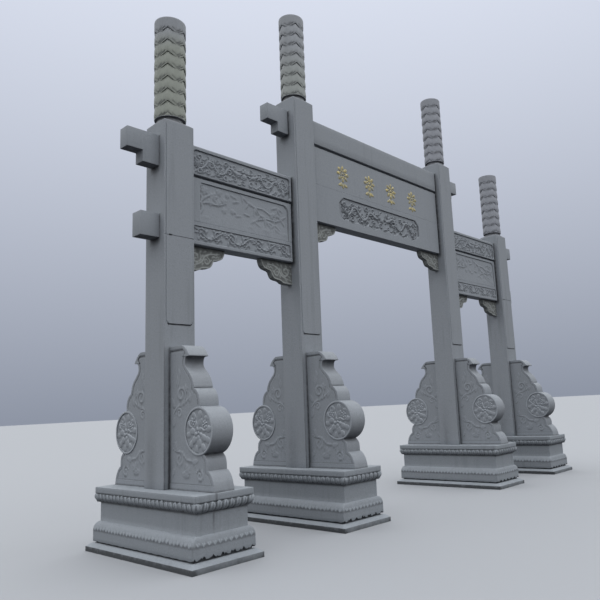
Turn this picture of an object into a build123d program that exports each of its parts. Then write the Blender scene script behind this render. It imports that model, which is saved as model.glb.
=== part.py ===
from build123d import *
import math
import os

os.makedirs("parts", exist_ok=True)

# Driving sizes, in millimetres
inner_pillar_x = 2018.0
side_bay_span = 2255.0
pillar_width = 428.0
outer_pillar_height = 4546.0
inner_pillar_height = 5678.0
slab_length = 2294.0
slab_width = 930.0
slab_thick = 60.0
plinth_length = 2186.0
plinth_width = 758.0
plinth_height = 694.0
crown_height = 1412.0
crown_radius = 205.0
drum_radius = 270.0
drum_stone_thick = 260.0

# Stations along the gate
outer_pillar_x = inner_pillar_x + side_bay_span
half_pillar = pillar_width / 2
plinth_top = slab_thick + plinth_height

# Plinth levels above the slab edge
slab_slope_rise = 35.0
open_joint_height = 17.0
open_joint_depth = 13.0
plinth_block_rise = 200.0
plinth_shoulder_rise = 285.0
waist_rise = 512.0
petal_bulge_rise = 580.0
petal_top_rise = 622.0
block_inset_x = -28.0
block_inset_y = 18.0
waist_inset_x = 47.0
waist_inset_y = 55.0
petal_foot_inset_x = 34.0
petal_foot_inset_y = 43.0
petal_bulge = 10.0
petal_top_inset = 6.0

# Pillar dressing
couplet_raise = 12.0
couplet_margin = 28.0
couplet_head_gap = 40.0
couplet_foot_gap = 1930.0
couplet_corner = 34.0

# Crowns on the pillars
shoulder_height = 62.0
crown_gap = 88.0
neck_radius = 176.0
crown_dome = 20.0
crown_rim = 7.0

# Beams, measured down from the pillar heads
beam_drop = 176.0
centre_beam_drop = 196.0
centre_beam_height = 405.0
plaque_height = 680.0
lintel_height = 625.0
side_beam_height = 412.0
side_panel_height = 637.0
side_lower_height = 306.0
proud_half = 130.0
flush_half = 112.0
tenon_half = 86.0
lower_tenon_half = 98.0
long_end = 430.0
short_end = 222.0
lower_end = 250.0
end_step = 148.0

# Brackets under the lintels
bracket_reach = 600.0
bracket_drop = 338.0
bracket_half = 52.0

# Drum stones against the pillars, measured from the pillar face and the plinth top
drum_out = 572.0
drum_up = 652.0
lobe_reach = 592.0
disc_radius = 262.0
disc_raise = 12.0
cap_up = 1640.0


def block(x0, x1, y0, y1, z0, z1):
    """A box between two corners."""
    return Pos((x0 + x1) / 2, (y0 + y1) / 2, (z0 + z1) / 2) * Box(abs(x1 - x0), abs(y1 - y0), abs(z1 - z0))


def tier(wx, wy, z0, vx, vy, z1):
    """A tapering tier between two rectangles."""
    low = Pos(0, 0, z0) * Rectangle(wx, wy)
    high = Pos(0, 0, z1) * Rectangle(vx, vy)
    return loft([low.face(), high.face()], ruled=True)


def side_profile(points):
    """A face in the plane across the gate from points of depth and height."""
    line = Polyline(*[(0, y, z) for y, z in points], close=True)
    return make_face(line)


# Ground slab and plinth
def make_slab(x):
    body = block(-slab_width / 2, slab_width / 2, -slab_length / 2, slab_length / 2, 0, slab_thick)
    bx = plinth_width - 2 * block_inset_x + 16
    by = plinth_length - 2 * block_inset_y + 16
    body += tier(slab_width, slab_length, slab_thick, bx, by, slab_thick + slab_slope_rise)
    return Pos(x, 0, 0) * body


def make_plinth(x):
    base = slab_thick
    bx = plinth_width - 2 * block_inset_x
    by = plinth_length - 2 * block_inset_y
    wx = plinth_width - 2 * waist_inset_x
    wy = plinth_length - 2 * waist_inset_y
    fx = plinth_width - 2 * petal_foot_inset_x
    fy = plinth_length - 2 * petal_foot_inset_y
    px = plinth_width + 2 * petal_bulge
    py = plinth_length + 2 * petal_bulge
    tx = plinth_width - 2 * petal_top_inset
    ty = plinth_length - 2 * petal_top_inset
    rise = plinth_shoulder_rise - plinth_block_rise
    joint = base + slab_slope_rise
    foot = joint + open_joint_height
    z1 = base + plinth_block_rise
    z2 = base + plinth_shoulder_rise
    z3 = base + waist_rise
    z4 = base + petal_bulge_rise
    z5 = base + petal_top_rise
    body = Pos(0, 0, (foot + z1) / 2) * Box(bx, by, z1 - foot)
    cut = 2 * open_joint_depth
    body += Pos(0, 0, (joint + foot) / 2) * Box(bx - cut, by - cut, foot - joint)
    mx = wx + (bx - wx) * 0.72
    my = wy + (by - wy) * 0.72
    zm = z1 + rise * 0.55
    body += tier(bx, by, z1, mx, my, zm)
    body += tier(mx, my, zm, wx, wy, z2)
    body += Pos(0, 0, (z2 + z3) / 2) * Box(wx, wy, z3 - z2)
    zb = z3 + (z4 - z3) * 0.5
    body += tier(fx, fy, z3, px - 26, py - 26, zb)
    body += tier(px - 26, py - 26, zb, px, py, z4)
    body += tier(px, py, z4, tx, ty, z5)
    body += Pos(0, 0, (z5 + plinth_top) / 2) * Box(plinth_width, plinth_length, plinth_top - z5)
    return Pos(x, 0, 0) * body


# Pillar with raised couplet panels front and back, and mortises
def make_pillar(x, height, tenons):
    top = plinth_top + height
    body = block(-half_pillar, half_pillar, -half_pillar, half_pillar, plinth_top, top)
    w = half_pillar - couplet_margin
    c0 = plinth_top + couplet_foot_gap
    panel = make_face(Polyline((-w, 0, c0 + couplet_corner), (-w + couplet_corner, 0, c0),
                               (w - couplet_corner, 0, c0), (w, 0, c0 + couplet_corner),
                               (w, 0, top - couplet_head_gap), (-w, 0, top - couplet_head_gap), close=True))
    for side in (-1, 1):
        plate = extrude(panel, couplet_raise, dir=(0, side, 0))
        body += Pos(0, side * half_pillar, 0) * plate
    for half, low, high in tenons:
        body -= block(-half_pillar - 1, half_pillar + 1, -half, half, low, high)
    return Pos(x, 0, 0) * body


# Crown: a sloped shoulder, a neck and a domed cylinder
def make_crown(x, top):
    square = Pos(0, 0, top) * Rectangle(pillar_width - 24, pillar_width - 24)
    ring = Pos(0, 0, top + shoulder_height) * Circle(neck_radius + 14)
    body = loft([square.face(), ring.face()])
    z0 = top + shoulder_height
    z1 = top + crown_gap
    z2 = z1 + crown_height
    r = crown_radius
    outline = Polyline((0, 0, z0), (neck_radius, 0, z0), (neck_radius, 0, z1), (r, 0, z1),
                       (r, 0, z2 - crown_dome), (r - crown_rim, 0, z2 - crown_dome * 0.55),
                       (r * 0.55, 0, z2 - crown_dome * 0.14), (0, 0, z2), close=True)
    body += revolve(make_face(outline), Axis.Z)
    return Pos(x, 0, 0) * body


# Drum stone, as an outline across the gate drawn out along it
def make_drum_stone(x, side):
    f = half_pillar
    b = plinth_top
    y = f + drum_out
    z = b + drum_up
    a0 = math.acos((lobe_reach - drum_out) / drum_radius)
    a1 = math.radians(-68)
    am = (a0 + a1) / 2
    d0 = (y + drum_radius * math.cos(a0), z + drum_radius * math.sin(a0))
    d1 = (y + drum_radius * math.cos(a1), z + drum_radius * math.sin(a1))
    mid = (y + drum_radius * math.cos(am), z + drum_radius * math.sin(am))
    top = b + cap_up
    crest = Polyline((0, f, b), (0, f, top), (0, f + 250, top))
    cap = ThreePointArc((0, f + 250, top), (0, f + 345, top - 53), (0, f + 398, top - 122))
    nose = Polyline((0, f + 398, top - 122), (0, f + 396, top - 134), (0, f + 330, top - 134))
    neck = ThreePointArc((0, f + 330, top - 134), (0, f + 306, top - 222), (0, f + 388, top - 320))
    scoop = ThreePointArc((0, f + 388, top - 320), (0, f + 454, top - 404), (0, f + 478, top - 496))
    step = Polyline((0, f + 478, top - 496), (0, f + 481, top - 510))
    lobe = ThreePointArc((0, f + 481, top - 510), (0, f + 567, top - 572), (0, f + lobe_reach, top - 670))
    drop = Polyline((0, f + lobe_reach, top - 670), (0, d0[0], d0[1]))
    drum = ThreePointArc((0, d0[0], d0[1]), (0, mid[0], mid[1]), (0, d1[0], d1[1]))
    toe = (0, f + 730, b + 250)
    foot_lobe = ThreePointArc((0, d1[0], d1[1]), (0, f + 722, b + 334), toe)
    foot_step = Polyline(toe, (0, f + 746, b + 226))
    foot = ThreePointArc((0, f + 746, b + 226), (0, f + 822, b + 136), (0, f + 856, b))
    close = Polyline((0, f + 856, b), (0, f, b))
    upper = [crest, cap, nose, neck, scoop, step, lobe, drop]
    face = make_face(upper + [drum, foot_lobe, foot_step, foot, close])
    body = extrude(face, drum_stone_thick / 2, dir=(1, 0, 0), both=True)
    full = drum_stone_thick + 2 * disc_raise
    disc = Pos(0, y, z) * Rot(0, 90, 0) * Cylinder(disc_radius, full)
    body += disc
    if side < 0:
        body = mirror(body, Plane.XZ)
    return Pos(x, 0, 0) * body


# Beam with stepped or plain heads that pass through the pillar
def head(x_face, direction, low, high, step):
    far = x_face + direction * (pillar_width + long_end)
    near = x_face + direction * (pillar_width + short_end)
    part = block(x_face, near, -tenon_half, tenon_half, low, high)
    return part + block(near, far, -tenon_half, tenon_half, low + step, high)


def bracket(x_face, direction, top):
    r = bracket_reach
    d = bracket_drop
    points = [(0, 0), (1, 0), (0.987, 0.12), (0.963, 0.25), (0.925, 0.37), (0.867, 0.438), (0.783, 0.473),
              (0.717, 0.497), (0.675, 0.55), (0.653, 0.657), (0.62, 0.76), (0.575, 0.822), (0.5, 0.855),
              (0.417, 0.87), (0.358, 0.9), (0.317, 0.953), (0.25, 0.985), (0, 1)]
    line = Polyline(*[(x_face + direction * q * r, 0, top - w * d) for q, w in points], close=True)
    return extrude(make_face(line), bracket_half, dir=(0, 1, 0), both=True)


outer_top = plinth_top + outer_pillar_height
inner_top = plinth_top + inner_pillar_height
side_beam_top = outer_top - beam_drop
side_beam_low = side_beam_top - side_beam_height
side_panel_low = side_beam_low - side_panel_height
side_lower_low = side_panel_low - side_lower_height
centre_beam_top = inner_top - centre_beam_drop
centre_beam_low = centre_beam_top - centre_beam_height
plaque_low = centre_beam_low - plaque_height
lintel_low = plaque_low - lintel_height

pieces = {}
stations = [-outer_pillar_x, -inner_pillar_x, inner_pillar_x, outer_pillar_x]
outer_holes = [(tenon_half, side_beam_low, side_beam_top), (lower_tenon_half, side_lower_low, side_panel_low)]
inner_holes = [(tenon_half, centre_beam_low, centre_beam_top)]
for number, x in enumerate(stations, start=1):
    outer = number in (1, 4)
    pieces[f"ground_slab_{number}"] = make_slab(x)
    pieces[f"plinth_{number}"] = make_plinth(x)
    height = outer_pillar_height if outer else inner_pillar_height
    pieces[f"pillar_{number}"] = make_pillar(x, height, outer_holes if outer else inner_holes)
    pieces[f"crown_{number}"] = make_crown(x, outer_top if outer else inner_top)
    pieces[f"drum_stone_front_{number}"] = make_drum_stone(x, -1)
    pieces[f"drum_stone_back_{number}"] = make_drum_stone(x, 1)

inside = inner_pillar_x - half_pillar
outside = inner_pillar_x + half_pillar
far_inside = outer_pillar_x - half_pillar
beam = block(-inside, inside, -proud_half, proud_half, centre_beam_low, centre_beam_top)
beam += head(inside, 1, centre_beam_low, centre_beam_top, end_step)
beam += head(-inside, -1, centre_beam_low, centre_beam_top, end_step)
pieces["centre_top_beam"] = beam
pieces["centre_plaque"] = block(-inside, inside, -flush_half, flush_half, plaque_low, centre_beam_low)
pieces["centre_lintel"] = block(-inside, inside, -flush_half, flush_half, lintel_low, plaque_low)
for name, way in (("left", -1), ("right", 1)):
    a = way * outside
    b = way * far_inside
    beam = block(a, b, -proud_half, proud_half, side_beam_low, side_beam_top)
    beam += head(b, way, side_beam_low, side_beam_top, end_step)
    pieces[f"{name}_top_beam"] = beam
    pieces[f"{name}_panel"] = block(a, b, -flush_half, flush_half, side_panel_low, side_beam_low)
    beam = block(a, b, -flush_half, flush_half, side_lower_low, side_panel_low)
    beam += block(b, b + way * (pillar_width + lower_end), -lower_tenon_half, lower_tenon_half,
                  side_lower_low, side_panel_low)
    pieces[f"{name}_lower_beam"] = beam
    pieces[f"{name}_outer_bracket"] = bracket(b, -way, side_lower_low)
    pieces[f"{name}_inner_bracket"] = bracket(a, way, side_lower_low)
    pieces[f"centre_{name}_bracket"] = bracket(way * inside, -way, lintel_low)

for name, shape in pieces.items():
    if isinstance(shape, (list, ShapeList)):
        shape = Compound(children=list(shape))
    shape.label = name
    export_step(shape, f"parts/{name}.step")
    print(name, round(shape.volume / 1e9, 4), len(shape.solids()))
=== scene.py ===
import math

import bmesh
import bpy
import numpy as np
from mathutils import Matrix, Vector


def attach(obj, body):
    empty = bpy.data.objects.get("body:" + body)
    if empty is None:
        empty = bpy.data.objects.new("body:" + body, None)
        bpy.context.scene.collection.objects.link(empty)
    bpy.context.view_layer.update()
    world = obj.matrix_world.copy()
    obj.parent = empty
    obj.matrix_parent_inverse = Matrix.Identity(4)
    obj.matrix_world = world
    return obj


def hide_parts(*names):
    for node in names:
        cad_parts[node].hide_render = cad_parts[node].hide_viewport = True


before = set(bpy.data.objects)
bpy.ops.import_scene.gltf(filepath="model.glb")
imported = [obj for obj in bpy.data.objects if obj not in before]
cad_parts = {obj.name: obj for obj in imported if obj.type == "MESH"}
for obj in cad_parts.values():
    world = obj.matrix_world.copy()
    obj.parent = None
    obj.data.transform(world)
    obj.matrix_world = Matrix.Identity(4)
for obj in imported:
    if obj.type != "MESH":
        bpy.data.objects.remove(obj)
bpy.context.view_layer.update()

# Sizes of the gate, in metres

INNER_X = 2.018
OUTER_X = 4.273
HALF_PILLAR = 0.214
PLINTH_TOP = 0.754
OUTER_TOP = 5.300
INNER_TOP = 6.432
STATIONS = (-OUTER_X, -INNER_X, INNER_X, OUTER_X)
OUTER_NUMBERS = (1, 4)
CENTRE_FACE = INNER_X - HALF_PILLAR
SIDE_FACE = INNER_X + HALF_PILLAR
FAR_FACE = OUTER_X - HALF_PILLAR

# Levels of the stones in a side bay and in the centre bay, from the foot up
SIDE_LEVELS = (3.769, 4.075, 4.712, 5.118)
CENTRE_LEVELS = (4.526, 5.151, 5.831, 6.230)

# Half depths of the stones in a bay, and the beam heads outside it
PROUD_HALF = 0.130
FLUSH_HALF = 0.112
HEAD_HALF = 0.086
LOWER_HEAD_HALF = 0.098
LONG_END = 0.430
SHORT_END = 0.222
LOWER_END = 0.250
END_STEP = 0.148
OPEN_JOINT = 0.030


# Materials

CRYSTAL = 120.0
MARKS = 60.0
# Strength of the painted shade and dirt
DIRT_AND_SHADE_STRENGTH = 0.9
STREAKS = 0.3
ROUGH = (0.72, 0.88)


def new_group(name, kind, inputs, outputs):
    """An empty node group, the sockets it draws from and those it ends in. A number is an input's default
    and gives its kind, and a word names the kind of any other socket."""
    group = bpy.data.node_groups.new(name, kind)
    for in_out, sockets in (("INPUT", inputs), ("OUTPUT", outputs)):
        for label, value in sockets.items():
            sort = {int: "Int", float: "Float"}.get(type(value), value)
            socket = group.interface.new_socket(name=label, in_out=in_out, socket_type=f"NodeSocket{sort}")
            if sort != value:
                socket.default_value = value
    return group, group.nodes.new("NodeGroupInput").outputs, group.nodes.new("NodeGroupOutput").inputs


def feed(tree, socket, value):
    """Links a source to a socket, or sets the socket's own value."""
    value = getattr(value, "socket", value)
    if isinstance(value, bpy.types.NodeSocket):
        tree.links.new(value, socket)
    else:
        socket.default_value = value


def add(tree, kind, feeds=None, **settings):
    """A node of that kind with its settings, and with inputs fed by number or by name."""
    node = tree.nodes.new(kind)
    for key, value in settings.items():
        setattr(node, key, value)
    for key, value in (feeds or {}).items():
        feed(tree, node.inputs[key], value)
    return node


def math_node(tree, operation, *values, clamp=False):
    """The result of an operation on sockets or numbers."""
    feeds = dict(enumerate(values))
    node = add(tree, "ShaderNodeMath", feeds, operation=operation, use_clamp=clamp)
    return Value(tree, node.outputs[0])


class Value:
    """A number that flows through a node tree, so that a formula on it reads as plain arithmetic."""

    def __init__(self, tree, socket):
        self.tree = tree
        self.socket = socket

    def use(self, operation, *others, clamp=False):
        """The result of an operation on this number and others."""
        return math_node(self.tree, operation, self, *others, clamp=clamp)

    def __add__(self, other):
        return self.use("ADD", other)

    def __sub__(self, other):
        return self.use("SUBTRACT", other)

    def __rsub__(self, other):
        return math_node(self.tree, "SUBTRACT", other, self)

    def __mul__(self, other):
        return self.use("MULTIPLY", other)

    def __truediv__(self, other):
        return self.use("DIVIDE", other)

    def __gt__(self, other):
        return self.use("GREATER_THAN", other)

    def __lt__(self, other):
        return self.use("LESS_THAN", other)


def combined(tree, x=0.0, y=0.0, z=0.0):
    """A vector from three numbers."""
    return add(tree, "ShaderNodeCombineXYZ", {0: x, 1: y, 2: z}).outputs[0]


def remap(tree, value, low, high, to_low=0.0, to_high=1.0):
    """A smooth step from one range to another."""
    feeds = {0: value, 1: low, 2: high, 3: to_low, 4: to_high}
    return Value(tree, add(tree, "ShaderNodeMapRange", feeds, interpolation_type="SMOOTHSTEP").outputs[0])


def noise(tree, place, scale, detail, rough):
    """Soft, uneven mottling."""
    feeds = {0: place, 2: scale, 3: detail, 4: rough}
    return Value(tree, add(tree, "ShaderNodeTexNoise", feeds).outputs[0])


def stretched(tree, place, scale):
    """Coordinates scaled along each axis."""
    return add(tree, "ShaderNodeMapping", {0: place, 3: scale}).outputs[0]


def build_speckle():
    """Granite crystals: a fine grey speckle and the height of its pits."""
    group, source, result = new_group("granite_speckle", "ShaderNodeTree",
                                      {"Place": "Vector", "Crystal": CRYSTAL},
                                      {"Shade": "Float", "Pits": "Float"})
    place = source["Place"]
    crystal = Value(group, source["Crystal"])
    cells = add(group, "ShaderNodeTexVoronoi", {"Vector": place, "Scale": crystal})
    grey = add(group, "ShaderNodeSeparateColor", {0: cells.outputs["Color"]})
    dark = remap(group, grey.outputs[0], 0.0, 0.22)
    fine = remap(group, noise(group, place, crystal * 0.34, 6.0, 0.72), 0.32, 0.68)
    feed(group, result["Shade"], dark * 0.45 + fine * 0.55)
    feed(group, result["Pits"], fine)
    return group


def build_weathering():
    """Soft clouds of tone, streaks of rain, dirt and painted shade in hollows, joints and under jutting
    parts, and painted highlights with wear on raised edges.
    """
    labels = ("Clouds", "Runs", "Painted_shade_and_dirt", "Painted_highlight_and_wear")
    group, source, result = new_group("weathering", "ShaderNodeTree",
                                      {"Place": "Vector", "Streaks": STREAKS, "Dirt": DIRT_AND_SHADE_STRENGTH},
                                      dict.fromkeys(labels, "Float"))
    place = source["Place"]
    clouds = remap(group, noise(group, place, 1.6, 5.0, 0.6), 0.3, 0.7)
    thin = noise(group, stretched(group, place, (9.0, 9.0, 0.55)), 1.3, 4.0, 0.6)
    broad = noise(group, place, 0.9, 2.0, 0.5)
    runs = remap(group, thin, 0.5, 0.72) * remap(group, broad, 0.42, 0.62) * source["Streaks"]
    hollow = Value(group, add(group, "ShaderNodeAttribute", attribute_name="hollow").outputs["Fac"])
    patchy = remap(group, noise(group, place, 14.0, 3.0, 0.6), 0.25, 0.75, 0.6, 1.0)
    # Painted shade with dirt, from the attribute's values above 0
    shade_with_dirt = (hollow.use("MAXIMUM", 0.0) * patchy).use("MULTIPLY", source["Dirt"], clamp=True)
    # Painted highlights with wear, from the attribute's values below 0
    highlight_and_wear = hollow.use("MULTIPLY", -1.0, clamp=True)
    for label, value in zip(labels, (clouds, runs, shade_with_dirt, highlight_and_wear)):
        feed(group, result[label], value)
    return group


def build_tooling():
    """Close chisel and grinding marks, as a height."""
    group, source, result = new_group("tooling", "ShaderNodeTree", {"Place": "Vector", "Marks": MARKS},
                                      {"Height": "Float"})
    place = stretched(group, source["Place"], (1.0, 1.0, 0.25))
    feed(group, result["Height"], noise(group, place, source["Marks"], 3.0, 0.5))
    return group


SPECKLE = build_speckle()
WEATHERING = build_weathering()
TOOLING = build_tooling()


def mix_colour(tree, factor, a, b, blend="MIX"):
    """Two colours, as sockets or plain tuples, mixed by a factor."""
    a, b = ((*colour, 1.0) if isinstance(colour, tuple) else colour for colour in (a, b))
    feeds = {0: factor, 6: a, 7: b}
    return add(tree, "ShaderNodeMix", feeds, data_type="RGBA", blend_type=blend).outputs[2]


def blank_material(name):
    """A new material with its tree, its main shader and the object's own coordinates."""
    material = bpy.data.materials.new(name)
    material.use_nodes = True
    tree = material.node_tree
    place = tree.nodes.new("ShaderNodeTexCoord").outputs["Object"]
    return material, tree, tree.nodes["Principled BSDF"], place


def granite(name, pale, deep, stain, streaks=STREAKS, bloom=None):
    """Weathered granite between a pale and a deep tone. bloom is a green growth: its colour, then the
    heights at which it starts, fades and ends."""
    material, tree, shader, place = blank_material(name)

    def placed(group, **feeds):
        return add(tree, "ShaderNodeGroup", {"Place": place, **feeds}, node_tree=group).outputs

    speckle = placed(SPECKLE, Crystal=CRYSTAL)
    weather = placed(WEATHERING, Streaks=streaks, Dirt=DIRT_AND_SHADE_STRENGTH)
    tooling = placed(TOOLING, Marks=MARKS)
    body = mix_colour(tree, speckle["Shade"], deep, pale)
    body = mix_colour(tree, Value(tree, weather["Clouds"]) * 0.55, body, tuple(0.9 * c for c in pale))
    if bloom:
        growth, foot, fade, end = bloom
        height = add(tree, "ShaderNodeSeparateXYZ", {0: place}).outputs[2]
        grown = remap(tree, height, foot, foot + 0.01) * remap(tree, height, fade, end, 0.75, 0.0)
        body = mix_colour(tree, grown, body, growth)
    body = mix_colour(tree, weather["Runs"], body, stain)
    # Painted shade with dirt darkens towards a deep tone, painted highlights with wear pale towards a
    # bright one
    body = mix_colour(tree, weather["Painted_shade_and_dirt"], body, tuple(0.26 * c for c in deep))
    body = mix_colour(tree, Value(tree, weather["Painted_highlight_and_wear"]) * 0.8, body, tuple(1.6 * c for c in pale))
    height = Value(tree, tooling["Height"]) * 0.5 + speckle["Pits"]
    bump = add(tree, "ShaderNodeBump", {0: 0.35, 1: 0.0016, "Height": height})
    feed(tree, shader.inputs["Base Color"], body)
    feed(tree, shader.inputs["Roughness"], remap(tree, speckle["Pits"], 0.0, 1.0, *ROUGH))
    feed(tree, shader.inputs["Normal"], bump.outputs[0])
    return material


DRESSED = granite("dressed_granite", (0.255, 0.275, 0.303), (0.177, 0.193, 0.217), (0.14, 0.153, 0.17))
PLINTH = granite("plinth_granite", (0.245, 0.268, 0.296), (0.166, 0.183, 0.206), (0.13, 0.14, 0.155))
CARVED = granite("carved_granite", (0.250, 0.271, 0.300), (0.176, 0.192, 0.216), (0.14, 0.153, 0.17),
                 streaks=0.2)
CROWN = granite("crown_granite", (0.270, 0.286, 0.314), (0.190, 0.202, 0.222), (0.15, 0.156, 0.16),
                bloom=((0.240, 0.257, 0.212), 5.392, 6.30, 6.72))
CROWN_GREY = granite("grey_crown_granite", (0.285, 0.300, 0.325), (0.200, 0.212, 0.230),
                     (0.16, 0.165, 0.17), bloom=((0.262, 0.280, 0.262), 6.524, 6.75, 7.5))
CROWN_PLAIN = granite("plain_crown_granite", (0.268, 0.280, 0.314), (0.186, 0.198, 0.224),
                      (0.15, 0.156, 0.17))
MOSSED = granite("mossed_granite", (0.250, 0.264, 0.262), (0.175, 0.186, 0.184), (0.13, 0.135, 0.125),
                 streaks=0.2)


def gold_leaf():
    """Thin gold paint on carved stone, rubbed and dulled."""
    material, tree, shader, place = blank_material("gold_leaf")
    wear_and_shade = remap(tree, noise(tree, place, 38.0, 5.0, 0.65), 0.36, 0.60)
    bump = add(tree, "ShaderNodeBump", {0: 0.3, 1: 0.001, "Height": wear_and_shade})
    feed(tree, shader.inputs["Base Color"], mix_colour(tree, wear_and_shade, (0.46, 0.37, 0.12), (0.25, 0.25, 0.21)))
    feed(tree, shader.inputs["Roughness"], remap(tree, wear_and_shade, 0.0, 1.0, 0.38, 0.75))
    feed(tree, shader.inputs["Metallic"], 0.35)
    feed(tree, shader.inputs["Normal"], bump.outputs[0])
    return material


GOLD = gold_leaf()


# Stones as meshes

class Stone:
    """The faces of one stone, gathered grid by grid and closed into one mesh."""

    def __init__(self):
        self.points = []
        self.faces = []
        self.hollow = []
        self.total = 0

    def skin(self, x, y, z, hollow=None):
        """A grid of quads through 2-D arrays of coordinates."""
        x, y, z = np.broadcast_arrays(np.asarray(x, float), y, z)
        rows, columns = x.shape
        self.points.append(np.stack([x, y, z], -1).reshape(-1, 3))
        deep = np.zeros((rows, columns)) if hollow is None else np.broadcast_to(hollow, (rows, columns))
        self.hollow.append(deep.reshape(-1))
        index = np.arange(rows * columns).reshape(rows, columns) + self.total
        quads = np.stack([index[:-1, :-1], index[:-1, 1:], index[1:, 1:], index[1:, :-1]], -1)
        self.faces.append(quads.reshape(-1, 4))
        self.total += rows * columns

    def mesh(self, name):
        """All the faces as one closed mesh, with their dirt, painted shade and painted highlights as a
        point attribute.
        """
        points = np.concatenate(self.points)
        mesh = bpy.data.meshes.new(name)
        mesh.from_pydata(points.tolist(), [], np.concatenate(self.faces).tolist())
        layer = mesh.attributes.new("hollow", "FLOAT", "POINT")
        layer.data.foreach_set("value", np.concatenate(self.hollow).astype(np.float32))
        work = bmesh.new()
        work.from_mesh(mesh)
        bmesh.ops.remove_doubles(work, verts=work.verts, dist=0.0004)
        bmesh.ops.dissolve_degenerate(work, edges=work.edges, dist=0.0001)
        bmesh.ops.recalc_face_normals(work, faces=work.faces)
        work.to_mesh(mesh)
        work.free()
        return mesh


def prism(name, outline, half, soften=0.0, dark=0.0):
    """A straight prism over an outline of (along, up), twice half thick, with softened arrises."""
    work = bmesh.new()
    ends = [[work.verts.new((along, y, up)) for along, up in outline] for y in (-half, half)]
    work.faces.new(ends[0])
    work.faces.new(ends[1])
    count = len(outline)
    for i in range(count):
        j = (i + 1) % count
        work.faces.new((ends[0][i], ends[0][j], ends[1][j], ends[1][i]))
    bmesh.ops.recalc_face_normals(work, faces=work.faces)
    if soften:
        bmesh.ops.bevel(work, geom=list(work.edges), offset=soften, segments=2, affect="EDGES",
                        profile=0.6)
    mesh = bpy.data.meshes.new(name)
    work.to_mesh(mesh)
    work.free()
    layer = mesh.attributes.new("hollow", "FLOAT", "POINT")
    layer.data.foreach_set("value", np.full(len(mesh.vertices), dark, np.float32))
    return mesh


def joined(name, meshes):
    """One mesh out of several."""
    work = bmesh.new()
    for mesh in meshes:
        work.from_mesh(mesh)
        bpy.data.meshes.remove(mesh)
    mesh = bpy.data.meshes.new(name)
    work.to_mesh(mesh)
    work.free()
    return mesh


def moved(mesh, x=0.0, y=0.0, z=0.0, turn=0.0):
    """The mesh turned about the upright axis and then shifted."""
    mesh.transform(Matrix.Translation((x, y, z)) @ Matrix.Rotation(turn, 4, "Z"))
    return mesh


# Faces that meet at more than this many degrees keep a sharp edge between them
FLAT_EDGE = 32.0
MOULDED_EDGE = 40.0
ROUND_EDGE = 50.0


def place_piece(name, mesh, material, node, sharp=FLAT_EDGE):
    """Shows a finished mesh in place of its CAD node, or added to it where there is none."""
    mesh.name = name
    piece = bpy.data.objects.new(name, mesh)
    bpy.context.scene.collection.objects.link(piece)
    mesh.materials.clear()
    mesh.materials.append(material)
    mesh.shade_smooth()
    mesh.set_sharp_from_angle(angle=math.radians(sharp))
    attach(piece, "root")
    if node:
        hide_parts(node)
    return piece


# Drawing in relief

def stations(length, step, edge):
    """Places along a face, closer together at its two ends."""
    count = max(2, int(round((length - 2 * edge) / step)))
    inner = np.linspace(edge, length - edge, count + 1)
    return np.concatenate([[0.0, edge * 0.3], inner, [length - edge * 0.3, length]])


def softened(distance, radius):
    """How far a face falls back within a rounded arris, by distance from its edge."""
    gap = np.clip(radius - distance, 0.0, radius)
    return radius - np.sqrt(np.maximum(radius * radius - gap * gap, 0.0))


def curl(x, y, outer, inner, start, sweep, count=26):
    """A spiral from its outer end inwards, in degrees."""
    out = []
    for t in np.linspace(0.0, 1.0, count):
        angle = math.radians(start + sweep * t)
        radius = outer + (inner - outer) * t
        out.append((x + radius * math.cos(angle), y + radius * math.sin(angle)))
    return out


def smooth_path(points, count=10):
    """A Catmull-Rom curve through points."""
    pts = [np.array(p, float) for p in points]
    pts = [2 * pts[0] - pts[1], *pts, 2 * pts[-1] - pts[-2]]
    out = []
    for a, b, c, d in zip(pts, pts[1:], pts[2:], pts[3:]):
        for t in np.linspace(0.0, 1.0, count, endpoint=False):
            out.append(0.5 * (2 * b + (c - a) * t + (2 * a - 5 * b + 4 * c - d) * t * t
                              + (3 * b - a - 3 * c + d) * t ** 3))
    out.append(pts[-2])
    return [tuple(p) for p in out]


PETALS = 5


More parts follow.
